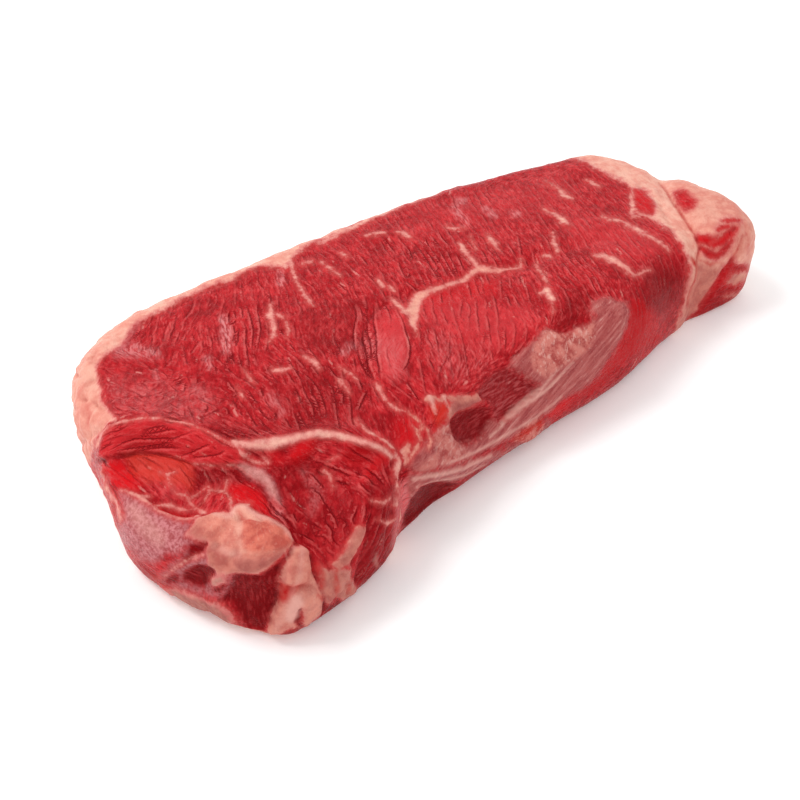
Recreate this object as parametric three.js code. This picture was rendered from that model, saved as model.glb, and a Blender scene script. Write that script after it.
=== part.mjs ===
// A raw beef strip steak, lying on its lower cut face: one piece of meat, so one closed solid.
// Millimetres, +Z up. X runs along the steak, from the folded tail (-X) to the fat end (+X), and Y across it,
// from the bone side (-Y) to the fat cap (+Y). The origin is under the middle of the steak, on the table.
import * as THREE from "three";

// Driving dimensions: the plan outline, which the walls pass by a millimetre or two, and the cut's thickness
const LENGTH = 208;
const WIDTH = 98;
const THICKNESS = 28;

// Edges and faces, as shares of the thickness
const CAP_ROUND = 0.22 * THICKNESS; // radius of the roll from the cut face into the wall, on the cap's side
const BONE_ROUND = 0.42 * THICKNESS; // the same on the bone side, where the meat sags outwards
const TAIL_ROUND = 0.13 * THICKNESS; // the same round the tail's end, where the fat breaks off sharply
const TABLE_ROUND = 0.13 * THICKNESS; // radius of the edge that meets the table
const WALL_BULGE = 0.045 * THICKNESS; // how far the wall swells between its two edges
const CROWN = 0.04 * THICKNESS; // how far the cut face falls from its middle to its long edges
const FAT_END_DROP = 0.02 * THICKNESS; // the fat end is this much thinner

// Grid of the faceted surface, in cells: along and across the cut face, and up the wall round it.
// The cells crowd to the edges, and a little more to the tail, where the form is busiest.
const CELLS = { along: 86, across: 40, up: 8 };
const ROUND_CELLS = 2; // of the cells up the wall, those that turn from the table into the wall
const CROWDING = 0.4;
const TAIL_CROWDING = 1.15;
const STEPS_PER_POINT = 12; // short straight steps between two points of a curve, for measuring to it

// Plan outline in shares of length and width, side by side round the steak.
// The first point of each side is the corner where it starts.
const SIDES = {
  bone: [
    [-0.462, -0.445],
    [-0.413, -0.473],
    [-0.337, -0.465],
    [-0.26, -0.427],
    [-0.173, -0.401],
    [-0.058, -0.394],
    [0.135, -0.412],
    [0.264, -0.373],
    [0.356, -0.369],
  ],
  fatEnd: [
    [0.462, -0.376],
    [0.493, -0.224],
    [0.497, 0],
  ],
  cap: [
    [0.481, 0.255],
    [0.375, 0.357],
    [0.202, 0.445],
    [0, 0.494],
    [-0.192, 0.51],
    [-0.317, 0.508],
  ],
  tail: [
    [-0.423, 0.398],
    [-0.466, 0.168],
    [-0.503, -0.082],
    [-0.495, -0.245],
  ],
};

// The tail line parts the flat cut face from the folded tail, from the tail end to the bone side.
const TAIL_LINE = [
  [-0.51, 0.051],
  [-0.476, 0.087],
  [-0.447, 0.087],
  [-0.416, 0.02],
  [-0.397, -0.061],
  [-0.385, -0.153],
  [-0.351, -0.222],
  [-0.312, -0.257],
  [-0.291, -0.316],
  [-0.279, -0.378],
  [-0.272, -0.49],
];
const LIP_HEIGHT = 0.04 * THICKNESS; // the rolled lip stands this far over the cut face
const LIP_WIDTH = 8; // across the lip, from its crest to the fold at its foot
const FOLD_DROP = 0.18 * THICKNESS; // from the cut face down to the fold
const FLOOR_SLOPE = 0.09; // fall of the tail's floor beyond the fold
const FACE_SLOPE = 0.42; // fall of the tail's bone-side face beyond the tail line
// The ridge between the tail's floor and its bone-side face, and how softly one turns into the other
const RIDGE = { from: [-0.387, -0.184], to: [-0.425, -0.459], softness: 4 };

// Swellings and hollows: where, in shares of length, width and thickness, then how wide and how high in
// millimetres. A negative height is a hollow.
const LUMPS = [
  { name: "corner fat", at: [-0.435, -0.413, 0.71], radius: 6, height: 2.5 },
  { name: "middle fat", at: [-0.452, -0.347, 0.75], radius: 6, height: 2.2 },
  { name: "inner fat", at: [-0.433, -0.276, 0.79], radius: 5, height: 1.6 },
  { name: "outer fat", at: [-0.476, -0.286, 0.71], radius: 5, height: 1.4 },
  { name: "tail end skin", at: [-0.49, -0.143, 0.5], radius: 11, height: 1.2 },
  { name: "cap fat over the tail", at: [-0.433, 0.245, 0.79], radius: 9, height: 0.8 },
  { name: "bone side of the tail", at: [-0.317, -0.449, 0.57], radius: 8, height: 0.8 },
  { name: "hollow of the tail face", at: [-0.351, -0.337, 0.82], radius: 8, height: -1.4 },
  { name: "hollow under the corner fat", at: [-0.466, -0.429, 0.39], radius: 6, height: -1.8 },
  { name: "hollow under the outer fat", at: [-0.49, -0.306, 0.5], radius: 4, height: -1.4 },
  { name: "fat end knob", at: [0.442, -0.194, 0.96], radius: 13, height: 1.8 },
  { name: "cap corner", at: [0.423, 0.163, 0.96], radius: 11, height: 1 },
  { name: "rib hollow", at: [-0.139, -0.388, 0.68], radius: 6, height: -1.4 },
  { name: "second rib hollow", at: [-0.067, -0.378, 0.75], radius: 7, height: -1.2 },
  { name: "undercut", at: [-0.221, -0.418, 0.18], radius: 8, height: -2.2 },
];

// Creases (negative height) and ridges along lines on the surface, in the same shares and millimetres
const LINES = [
  {
    name: "fold under the lip",
    path: [[-0.452, 0.01, 0.86], [-0.43, -0.046, 0.82], [-0.418, -0.107, 0.82], [-0.394, -0.194, 0.89]],
    halfWidth: 2.6,
    height: -1.3,
  },
  {
    name: "crease beside the tail",
    path: [[-0.272, -0.398, 0.79], [-0.269, -0.434, 0.5], [-0.269, -0.444, 0.25], [-0.269, -0.444, 0]],
    halfWidth: 4,
    height: -2.6,
  },
  {
    name: "edge of the corner fat",
    path: [[-0.413, -0.367, 0.86], [-0.425, -0.429, 0.75], [-0.442, -0.449, 0.61], [-0.457, -0.439, 0.43]],
    halfWidth: 2.5,
    height: -1.6,
  },
  {
    name: "corner column",
    path: [[-0.409, -0.469, 0.61], [-0.418, -0.474, 0.43], [-0.428, -0.469, 0.25]],
    halfWidth: 4,
    height: 0.9,
  },
  {
    name: "fat strip of the tail face",
    path: [[-0.341, -0.469, 0.68], [-0.365, -0.48, 0.61], [-0.389, -0.485, 0.46]],
    halfWidth: 3,
    height: 1.2,
  },
  {
    name: "valley before the fat end",
    path: [
      [0.486, 0, 0.86],
      [0.423, -0.112, 0.96],
      [0.38, -0.204, 0.96],
      [0.349, -0.316, 0.93],
      [0.344, -0.367, 0.64],
      [0.337, -0.378, 0.11],
    ],
    halfWidth: 4,
    height: -2.2,
  },
  {
    name: "seam between the muscles",
    path: [
      [-0.053, 0.031, 1],
      [-0.029, -0.015, 1],
      [0.038, -0.041, 1],
      [0.115, -0.082, 1],
      [0.25, -0.143, 0.96],
    ],
    halfWidth: 3.5,
    height: -0.8,
  },
  {
    name: "silverskin fold",
    path: [
      [-0.25, -0.429, 0.64],
      [-0.173, -0.418, 0.43],
      [-0.072, -0.408, 0.29],
      [0.043, -0.418, 0.43],
      [0.13, -0.388, 0.82],
    ],
    halfWidth: 4,
    height: 1.2,
  },
];

const { clamp, lerp, smoothstep } = THREE.MathUtils;
const place = ([x, y, z = 0]) => new THREE.Vector3(x * LENGTH, y * WIDTH, z * THICKNESS);

// The outline as one closed curve, with the share of its length at which each side starts
const outlinePoints = Object.values(SIDES).flat();
const outline = new THREE.CatmullRomCurve3(outlinePoints.map(place), true, "centripetal");
outline.arcLengthDivisions = STEPS_PER_POINT * outlinePoints.length;
const outlineSteps = outline.getPoints(outline.arcLengthDivisions);
const passedLengths = outline.getLengths();
const sideStart = {};
let passedPoints = 0;
for (const [side, points] of Object.entries(SIDES)) {
  sideStart[side] = passedLengths[STEPS_PER_POINT * passedPoints] / passedLengths.at(-1);
  passedPoints += points.length;
}

// A point on one stretch of the outline, from share 0 to share 1 of the stretch
const stretch = (from, to, share) => outline.getPointAt(lerp(from, to, share));
const boneEdge = (u) => stretch(sideStart.bone, sideStart.fatEnd, u);
const fatEdge = (v) => stretch(sideStart.fatEnd, sideStart.cap, v);
const capEdge = (u) => stretch(sideStart.tail, sideStart.cap, u);
const tailEdge = (v) => stretch(1, sideStart.tail, v);

const between = (a, b, share) => a.clone().lerp(b, share);

// Plan position of a share along and across the steak: a patch stretched between the four sides
function plan(u, v) {
  const across = between(boneEdge(u), capEdge(u), v);
  const lengthwise = between(tailEdge(v), fatEdge(v), u);
  const boneCorners = between(boneEdge(0), boneEdge(1), u);
  const capCorners = between(capEdge(0), capEdge(1), u);
  return across.add(lengthwise).sub(between(boneCorners, capCorners, v));
}

// Distance from a point to a line of short straight steps, less than zero on the line's right
function fromLine(point, steps) {
  const segment = new THREE.Line3();
  const closest = new THREE.Vector3();
  const way = new THREE.Vector3();
  let nearest = Infinity;
  for (let i = 1; i < steps.length; i++) {
    segment.set(steps[i - 1], steps[i]);
    segment.closestPointToPoint(point, true, closest);
    const distance = closest.distanceTo(point);
    if (distance < Math.abs(nearest)) {
      segment.delta(way);
      const onRight = way.x * (point.y - closest.y) < way.y * (point.x - closest.x);
      nearest = onRight ? -distance : distance;
    }
  }
  return nearest;
}

// A smooth open curve through points, as short straight steps
const smoothSteps = (points) => new THREE.CatmullRomCurve3(points).getPoints(STEPS_PER_POINT * points.length);

const tailSteps = smoothSteps(TAIL_LINE.map(place));
const ridgeSteps = [place(RIDGE.from), place(RIDGE.to)];

// How far the tail lies under the cut face at a plan point
function tailDrop(point) {
  const beyond = -fromLine(point, tailSteps);
  const lip = LIP_HEIGHT * Math.exp(-((beyond / (0.4 * LIP_WIDTH)) ** 2));
  const floor = FOLD_DROP * smoothstep(beyond, 0, LIP_WIDTH) + FLOOR_SLOPE * Math.max(0, beyond - LIP_WIDTH);
  const face = FACE_SLOPE * Math.max(0, beyond);
  const faceShare = smoothstep(fromLine(point, ridgeSteps), -RIDGE.softness, RIDGE.softness);
  return lerp(floor, face, faceShare) - lip;
}

// Height of the upper cut face at a plan point that lies so far inside the outline
function cutFace(point, inset) {
  const drop = tailDrop(point);
  const crown = CROWN * (2 * point.y / WIDTH) ** 2;
  const thinning = FAT_END_DROP * smoothstep(point.x, 0.2 * LENGTH, 0.48 * LENGTH);
  const offBone = Math.max(
    smoothstep(point.y, -0.3 * WIDTH, 0.2 * WIDTH),
    smoothstep(point.x, 0.3 * LENGTH, 0.4 * LENGTH),
  );
  const side = lerp(BONE_ROUND, CAP_ROUND, offBone);
  const end = lerp(TAIL_ROUND, CAP_ROUND, smoothstep(point.x, -0.42 * LENGTH, -0.35 * LENGTH));
  const round = lerp(side, end, smoothstep(drop, 0, FOLD_DROP));
  const rim = 1 - Math.min(1, inset / round);
  return THICKNESS - crown - thinning - drop - round * (1 - Math.sqrt(1 - rim * rim));
}

// Moves a grid share towards the nearer edge, so that the rounded edges get smaller cells
const crowd = (share) => lerp(share, 0.5 - 0.5 * Math.cos(Math.PI * share), CROWDING);

// The surface is one sheet of cells: its middle is the cut face and its outer rings hang down as the wall.
const COLUMNS = CELLS.along + 2 * CELLS.up;
const ROWS = CELLS.across + 2 * CELLS.up;
const ringAt = (column, row) => Math.min(column, COLUMNS - column, row, ROWS - row, CELLS.up);
const vertexAt = (column, row) => column * (ROWS + 1) + row;

// A point of the plain steak, in whole cells from the corner of the sheet
function steakPoint(column, row) {
  const ring = ringAt(column, row);
  const u = crowd((column - ring) / (COLUMNS - 2 * ring)) ** TAIL_CROWDING;
  const v = crowd((row - ring) / (ROWS - 2 * ring));
  const point = plan(u, v);
  const onOutline = u === 0 || u === 1 || v === 0 || v === 1;
  const inset = onOutline ? 0 : Math.abs(fromLine(point, outlineSteps));
  const top = cutFace(point, inset);
  if (ring >= ROUND_CELLS) {
    return point.setZ(lerp(TABLE_ROUND, top, (ring - ROUND_CELLS) / (CELLS.up - ROUND_CELLS)));
  }
  const turn = 0.5 * Math.PI * ring / ROUND_CELLS;
  const inward = plan(lerp(u, 0.5, 0.1), lerp(v, 0.5, 0.1)).sub(point).normalize();
  point.addScaledVector(inward, TABLE_ROUND * (1 - Math.sin(turn)));
  return point.setZ(TABLE_ROUND * (1 - Math.cos(turn)));
}

const lumpCentres = LUMPS.map(({ at }) => place(at));
const lineSteps = LINES.map(({ path }) => smoothSteps(path.map(place)));

// How far the surface swells out at a point of the plain steak
function relief(point, normal) {
  const upright = 1 - Math.abs(normal.z);
  let height = WALL_BULGE * upright * Math.sin(Math.PI * clamp(point.z / THICKNESS, 0, 1));
  LUMPS.forEach((lump, i) => {
    const away = point.distanceTo(lumpCentres[i]) / lump.radius;
    height += lump.height * Math.exp(-away * away);
  });
  LINES.forEach((line, i) => {
    const away = fromLine(point, lineSteps[i]) / line.halfWidth;
    height += line.height * Math.exp(-away * away);
  });
  return height;
}

// Adds the relief along the surface's own normals. The edge on the table only moves along the table.
function swell(geometry) {
  geometry.computeVertexNormals();
  const position = geometry.getAttribute("position");
  const normals = geometry.getAttribute("normal");
  for (let i = 0; i < position.count; i++) {
    const point = new THREE.Vector3().fromBufferAttribute(position, i);
    const normal = new THREE.Vector3().fromBufferAttribute(normals, i);
    const lowest = 0.2 * point.z;
    point.addScaledVector(normal, relief(point, normal));
    position.setXYZ(i, point.x, point.y, lowest === 0 ? 0 : Math.max(point.z, lowest));
  }
}

// The two triangles of a cell. They meet on the diagonal that runs the way of the tail line,
// or up the wall where the cell turns a corner of the wall.
function cellFaces(column, row) {
  const cell = [[0, 0], [1, 0], [1, 1], [0, 1]].map(([c, r]) => [column + c, row + r]);
  const [a, b, c, d] = cell.map((at) => vertexAt(...at));
  const [ringA, ringB, ringC, ringD] = cell.map((at) => ringAt(...at));
  const turnsCorner = ringA !== ringC && ringB === ringD;
  return turnsCorner ? [a, b, c, a, c, d] : [a, b, d, b, c, d];
}

// Triangles that close the sheet with a flat face on the table
function tableFaces(position) {
  const border = [];
  for (let column = 0; column < COLUMNS; column++) border.push(vertexAt(column, 0));
  for (let row = 0; row < ROWS; row++) border.push(vertexAt(COLUMNS, row));
  for (let column = COLUMNS; column > 0; column--) border.push(vertexAt(column, ROWS));
  for (let row = ROWS; row > 0; row--) border.push(vertexAt(0, row));
  const contour = border.map((vertex) => new THREE.Vector2().fromBufferAttribute(position, vertex));
  const triangles = THREE.ShapeUtils.triangulateShape(contour, []);
  return triangles.flatMap(([a, b, c]) => [border[a], border[c], border[b]]);
}

function steakGeometry() {
  const points = [];
  const faces = [];
  for (let column = 0; column <= COLUMNS; column++) {
    for (let row = 0; row <= ROWS; row++) {
      points.push(steakPoint(column, row));
      if (column < COLUMNS && row < ROWS) faces.push(...cellFaces(column, row));
    }
  }
  const steak = new THREE.BufferGeometry().setFromPoints(points).setIndex(faces);
  swell(steak);
  steak.setIndex([...faces, ...tableFaces(steak.getAttribute("position"))]);
  return settle(steak);
}

// Sets the finished form on the table with its middle over the origin.
function settle(geometry) {
  geometry.computeBoundingBox();
  const { min, max } = geometry.boundingBox;
  return geometry.translate(-(min.x + max.x) / 2, -(min.y + max.y) / 2, -min.z);
}

const meat = new THREE.MeshStandardMaterial({ color: 0xb8323a, roughness: 0.45, metalness: 0 });

const part = new THREE.Group();
const steak = new THREE.Mesh(steakGeometry(), meat);
steak.name = "steak";
part.add(steak);

export default part;
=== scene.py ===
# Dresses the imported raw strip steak: fine relief, marbling, fat and membranes, the studio and the camera.
import math
from functools import lru_cache

import bpy
import numpy as np
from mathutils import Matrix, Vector
from mathutils.bvhtree import BVHTree
from mathutils.kdtree import KDTree


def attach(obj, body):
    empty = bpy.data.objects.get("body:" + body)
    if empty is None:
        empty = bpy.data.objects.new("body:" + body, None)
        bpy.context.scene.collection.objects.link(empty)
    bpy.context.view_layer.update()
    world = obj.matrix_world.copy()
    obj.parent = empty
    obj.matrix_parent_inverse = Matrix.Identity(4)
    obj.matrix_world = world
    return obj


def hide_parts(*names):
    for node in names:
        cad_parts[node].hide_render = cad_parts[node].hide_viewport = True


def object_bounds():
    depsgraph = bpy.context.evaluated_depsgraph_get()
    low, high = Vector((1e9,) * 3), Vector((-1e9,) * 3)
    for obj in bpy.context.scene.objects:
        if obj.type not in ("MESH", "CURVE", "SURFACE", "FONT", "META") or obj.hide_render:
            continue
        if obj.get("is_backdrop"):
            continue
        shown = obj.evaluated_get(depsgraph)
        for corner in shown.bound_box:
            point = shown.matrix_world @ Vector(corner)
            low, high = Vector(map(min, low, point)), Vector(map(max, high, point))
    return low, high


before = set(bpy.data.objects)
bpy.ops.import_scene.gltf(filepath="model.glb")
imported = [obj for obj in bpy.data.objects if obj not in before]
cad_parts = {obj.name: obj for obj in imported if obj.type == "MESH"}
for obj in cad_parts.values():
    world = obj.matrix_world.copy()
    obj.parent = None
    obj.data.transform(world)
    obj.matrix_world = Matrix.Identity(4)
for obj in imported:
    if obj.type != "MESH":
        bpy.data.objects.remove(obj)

CAD_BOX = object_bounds()

# The camera, fitted to the photo: a pixel of the 800 x 800 photo is a ray through it.
MM = 0.001
IMAGE = 800
FOCAL = 1100
SENSOR = 36
AZIMUTH = math.radians(-45)
ELEVATION = math.radians(36)
TARGET = Vector((-15.9, -2.65, -0.73)) * MM
DISTANCE = 297.25 * MM
BACK = Vector((
    math.sin(AZIMUTH) * math.cos(ELEVATION),
    -math.cos(AZIMUTH) * math.cos(ELEVATION),
    math.sin(ELEVATION),
))
EYE = TARGET + BACK * DISTANCE
RIGHT = (-BACK).cross(Vector((0, 0, 1))).normalized()
UP = RIGHT.cross(-BACK)

# The skin is an even mesh over the solid, finer than its facets.
VOXEL = 0.58 * MM
SMOOTH_STEPS = 8
WELD = 0.01 * MM
TRIANGLES = 196_000
# Thinning spares the side that the photo shows. Elsewhere a weight below 1 makes it go by edge length, and
# slight roughness keeps flat parts from going first, so that the underside keeps enough vertices for paint.
UNSEEN_WEIGHT = 0.5
UNSEEN_FORCE = 1000
UNSEEN_ROUGH = 0.12 * MM
UNSEEN_BUMPS = 0.25
# Height of the cut face in mm, and how far the underside's copy of it sways.
THICKNESS = 28.0
SWAY = 1.5 * MM
# A vertex is seen where a ray from the eye ends this near to it.
SIGHT = 0.8 * MM

# Depth, in pixels, of a vertex that is well outside a shape.
FAR_OFF = -24.0
# Fat on the sides that the photo hides: its depth and how much that swings, in pixels, and bumps per mm.
HIDDEN_FAT = 6.5
HIDDEN_FAT_SWING = 9
HIDDEN_FAT_BUMPS = (0.035, 0.1, 0.14)

# Shapes in the photo's pixels: outlines of (column, row) and strokes of (column, row, half width).
# Threads of fat in the lean and over the tail.
MARBLING = {
    "far rim": (
        (318, 243, 2), (345, 230, 3.2), (372, 218, 3), (398, 206, 2.8), (418, 198, 2), (434, 192, 0.6),
    ),
    "main seam": (
        (417, 334, 1), (413, 322, 4), (413, 309, 7), (418, 297, 5), (432, 290, 3), (448, 285, 2.4),
        (462, 280, 2.4), (471, 274, 3), (478, 268, 4), (488, 270, 3.2), (498, 271, 3), (508, 269, 1.4),
        (519, 267, 1.8),
    ),
    "seam fork": ((413, 311, 4), (404, 311, 3), (396, 304, 2.6), (390, 298, 1)),
    "seam spur": ((477, 266, 3), (470, 257, 2.4), (464, 249, 3.2), (459, 243, 1)),
    "upper wedge": ((488, 236, 2), (493, 242, 3.4), (499, 250, 1)),
    "far wedge": ((553, 233, 1.2), (554, 243, 2.6), (557, 253, 2)),
    "far fleck": ((543, 209, 1), (553, 213, 1.4), (562, 220, 4), (569, 225, 1.5)),
    "back fleck": ((546, 183, 1.4), (556, 188, 1), (564, 195, 3.2), (572, 199, 1)),
    "near right": ((593, 256, 1.2), (604, 257, 2.6), (615, 261, 3.8), (627, 269, 3), (634, 275, 2.4)),
    "near right spur": ((634, 275, 2), (641, 273, 2.4), (650, 270, 1)),
    "right vein": (
        (602, 216, 1), (611, 220, 1.6), (622, 221, 2), (631, 227, 2.6), (642, 232, 2.4), (652, 238, 2),
        (661, 244, 2.4), (670, 251, 1.2),
    ),
    "right notch": ((630, 194, 1), (633, 205, 2.8), (632, 216, 2), (640, 217, 1.5)),
    "cap vein": (
        (291, 264, 3), (293, 272, 2), (297, 282, 1.6), (303, 292, 1.5), (309, 301, 2.2), (313, 305, 1),
    ),
    "left blob": ((271, 304, 1.4), (270, 315, 4), (274, 327, 3), (274, 336, 2), (268, 342, 1)),
    "left loop": ((278, 315, 1.4), (285, 320, 1.6), (288, 330, 2), (287, 337, 1)),
    "cap dash": ((303, 263, 1.4), (312, 262, 2)),
    "cap sliver": ((321, 262, 1), (330, 269, 1.6), (341, 276, 0.8)),
    "cap fleck": ((340, 252, 1), (347, 257, 1.6)),
    "cap smear": ((366, 236, 1), (376, 234, 2), (385, 234, 1.4)),
    "cap bead": ((398, 233, 1.4), (405, 234, 2.6), (411, 237, 1)),
    "middle bead": ((378, 280, 1.6), (383, 286, 2.6)),
    "middle sliver": ((388, 285, 1), (394, 291, 1.6)),
    "left hook": ((303, 357, 1), (311, 360, 2.8), (316, 362, 2.6), (320, 369, 1)),
    "left dash": ((272, 370, 1.6), (281, 371, 2.2), (292, 368, 1.2)),
    "lower drop": ((340, 380, 2.4), (345, 386, 2.2), (350, 394, 0.8)),
    "lower sliver": ((339, 367, 0.8), (348, 372, 1.6), (357, 379, 1)),
    "lower vein": (
        (377, 384, 2.2), (381, 393, 1.8), (387, 401, 1.4), (392, 406, 1.8), (398, 409, 1.6),
        (409, 412, 1.2), (417, 419, 1.3), (422, 429, 1),
    ),
    "near bead": ((540, 293, 1.6), (547, 291, 4), (552, 299, 2.8), (553, 312, 1)),
    "near vein": ((536, 265, 1), (541, 273, 2), (547, 282, 1.8)),
    "seam tip": ((521, 259, 1.2), (521, 267, 1.8)),
    "far dot": ((543, 256, 1.2), (550, 257, 1.6)),
    "upper dash": ((447, 226, 0.8), (455, 228, 1.6), (464, 228, 0.8)),
    "upper thread": ((470, 237, 0.8), (476, 248, 1.2)),
    "left thread": ((244, 370, 1.2), (250, 378, 2), (254, 382, 0.8)),
    "left tick": ((237, 387, 1.2), (243, 397, 1.6)),
    "back streak": ((586, 180, 0.8), (593, 183, 1.6), (600, 187, 0.8)),
    "corner seam": (
        (234, 442, 2), (250, 446, 4), (270, 445, 5), (287, 441, 4.5), (302, 437, 3.4), (316, 434, 3.6),
        (334, 435, 3.4), (350, 439, 3.2), (366, 444, 2.8), (379, 449, 2.4), (390, 457, 2),
    ),
    "corner fork": ((237, 445, 2), (245, 455, 2.6), (254, 462, 2.6), (266, 464, 1.6)),
    "corner fork arm": ((262, 456, 1), (267, 462, 2)),
    "corner strand": ((393, 452, 2), (398, 463, 3), (394, 476, 2.4), (398, 488, 1.6), (396, 505, 1.4)),
    "corner knob": ((402, 453, 2), (408, 446, 3), (404, 462, 3)),
    "corner thread": ((356, 420, 1), (366, 430, 1.6), (378, 437, 2), (392, 448, 2.4)),
    "flank thread": ((412, 425, 0.8), (417, 431, 1.4), (420, 440, 2), (415, 449, 2.4), (408, 460, 2)),
    "flank arc": (
        (405, 411, 1), (415, 416, 1.2), (422, 424, 1.4), (428, 431, 1.6), (430, 441, 1.4), (427, 451, 0.8),
    ),
    "end wedge": ((729, 282, 2.5), (736, 279, 6), (744, 276, 5)),
    "end wedge low": ((724, 297, 0.8), (732, 295, 2.2), (741, 294, 2.6)),
    "end thread": ((711, 244, 0.5), (718, 238, 0.9), (724, 232, 1), (731, 227, 0.8)),
    "side thread": ((372, 500, 1.2), (382, 503, 1.6), (390, 498, 1.2)),
    "side thread low": ((378, 520, 1), (388, 524, 1.6), (396, 518, 1)),
    "tail star": ((160, 474, 0.3), (168, 477, 0.9), (176, 474, 0.3)),
    "tail star ray": ((168, 477, 0.7), (170, 486, 0.8), (177, 494, 0.5), (185, 495, 0.5)),
    "tail star low": ((185, 494, 1), (190, 501, 1.4), (194, 507, 1.8), (205, 513, 2)),
    "tail cell": ((208, 483, 1.2), (210, 489, 1.8), (204, 500, 1)),
    "tail cell left": ((208, 483, 0.8), (199, 490, 1), (189, 497, 0.8)),
    "tail cell top": ((210, 489, 1.6), (218, 488, 1.6), (225, 489, 1.8), (227, 479, 1)),
    "tail cell side": ((225, 489, 1.6), (231, 500, 1.6), (231, 507, 2)),
    "tail cuff": (
        (122, 491, 1.6), (131, 494, 2), (140, 497, 2.6), (148, 503, 2), (158, 511, 2), (172, 517, 2),
        (188, 519, 2), (199, 517, 2.4),
    ),
    "cuff wedge": ((141, 496, 2.4), (150, 494, 1)),
    "tail cuff lip": ((152, 508, 1), (160, 503, 1.4), (172, 503, 1.4), (182, 507, 1.2), (192, 508, 1)),
    "end streak": ((103, 471, 1.2), (106, 485, 1.8), (112, 497, 2.4), (118, 508, 3), (122, 518, 3)),
    "lip edge": ((96, 446, 3), (99, 438, 2.6), (108, 428, 2), (120, 422, 1.6), (140, 419, 1)),
    "lip crest": ((140, 419, 0.8), (160, 419, 1), (185, 423, 1.2), (206, 431, 1), (226, 442, 1)),
    "tail web": ((163, 578, 1), (179, 565, 1.6), (193, 559, 1.6), (204, 554, 1.2)),
    "fold edge": ((196, 466, 0.6), (211, 466, 0.9), (236, 465, 0.6)),
    "corner streak": ((324, 470, 1.2), (329, 474, 2.4), (332, 484, 1.6)),
    "corner tick": ((327, 463, 0.8), (333, 459, 1), (339, 456, 0.8)),
}

# Fat: the cap, the fat end, the lumps of the tail and a pad on the near side.
FAT_OUTLINES = {
    "cap": (
        (92, 460), (96, 440), (107, 426), (118, 419), (109, 410), (102, 400), (101, 388), (97, 371),
        (101, 361), (108, 354), (116, 349), (124, 344), (127, 335), (135, 326), (147, 319), (159, 313),
        (171, 306), (184, 299), (205, 289), (222, 284), (234, 280), (246, 273), (258, 268), (272, 267),
        (286, 269), (291, 262), (297, 254), (310, 245), (321, 240), (336, 236), (347, 229), (356, 223),
        (368, 218), (384, 212), (399, 207), (412, 204), (424, 199), (438, 194), (430, 160), (290, 200),
        (140, 270), (50, 340), (50, 480), (88, 478),
    ),
    "end": (
        (572, 159), (585, 163), (597, 170), (607, 176), (617, 180), (624, 183), (630, 190), (634, 200),
        (634, 212), (641, 217), (654, 221), (663, 228), (671, 233), (676, 241), (681, 248), (685, 256),
        (688, 270), (686, 288), (684, 302), (679, 316), (674, 332), (690, 350), (730, 340), (780, 310),
        (790, 190), (700, 130), (580, 130),
    ),
    "tail lumps": (
        (196, 519), (205, 516), (214, 513), (222, 512), (230, 515), (231, 508), (240, 503), (252, 503),
        (249, 511), (261, 516), (270, 522), (283, 527), (291, 540), (291, 546), (283, 554), (267, 556),
        (251, 557), (240, 560), (230, 559), (216, 556), (206, 551), (208, 543), (196, 541), (186, 536),
        (192, 528),
    ),
    "lump under": (
        (206, 545), (216, 549), (232, 554), (245, 551), (261, 550), (277, 548), (288, 550), (274, 564),
        (267, 570), (258, 575), (245, 573), (236, 575), (228, 574), (216, 572), (208, 565),
    ),
    "tail strip": (
        (355, 526), (365, 527), (363, 534), (357, 547), (353, 554), (346, 566), (335, 570), (329, 565),
        (336, 558), (345, 547), (351, 534),
    ),
    "tail column": (
        (290, 548), (300, 545), (308, 552), (312, 566), (316, 580), (323, 596), (322, 609), (311, 621),
        (299, 631), (284, 636), (266, 637), (268, 620), (276, 605), (279, 590), (283, 574),
    ),
    "tail foot": (
        (319, 563), (327, 570), (336, 567), (350, 568), (350, 577), (355, 586), (353, 596), (346, 600),
        (333, 597), (326, 604), (322, 596), (319, 584),
    ),
    "tail base": (
        (163, 587), (176, 587), (192, 592), (206, 598), (217, 602), (230, 612), (238, 622), (225, 625),
        (180, 605),
    ),
    "tail pad": ((208, 578), (218, 574), (229, 573), (226, 583), (214, 586)),
    "flank pad": (
        (423, 401), (427, 396), (434, 396), (438, 400), (444, 395), (452, 396), (460, 394), (470, 396),
        (479, 392), (483, 400), (472, 406), (462, 410), (454, 414), (449, 421), (446, 414), (451, 404),
        (446, 400), (440, 404), (436, 401), (431, 404),
    ),
}

# Silver-skin on the near side.
SILVER_OUTLINES = {
    "silver": (
        (590, 305), (597, 299), (605, 297), (616, 301), (627, 302), (629, 311), (626, 324), (620, 338),
        (612, 352), (603, 366), (595, 377), (587, 385), (574, 391), (562, 399), (553, 407), (536, 419),
        (524, 427), (511, 437), (497, 445), (483, 451), (468, 458), (452, 464), (432, 470), (416, 472),
        (408, 466), (414, 455), (426, 445), (436, 432), (449, 419), (456, 440), (466, 445), (476, 441),
        (487, 431), (494, 422), (503, 422), (516, 413), (528, 403), (537, 392), (537, 384), (529, 378),
        (518, 371), (511, 366), (515, 359), (522, 351), (530, 344), (538, 337), (546, 328), (553, 331),
        (561, 335), (569, 333), (578, 327), (588, 324), (594, 317),
    ),
    "strip": (
        (410, 473), (430, 471), (452, 466), (470, 460), (490, 454), (506, 447), (520, 439), (533, 430),
        (548, 420), (550, 428), (530, 441), (512, 450), (496, 458), (480, 466), (465, 476), (450, 482),
        (432, 482), (420, 486), (412, 497), (408, 490),
    ),
}

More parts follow.
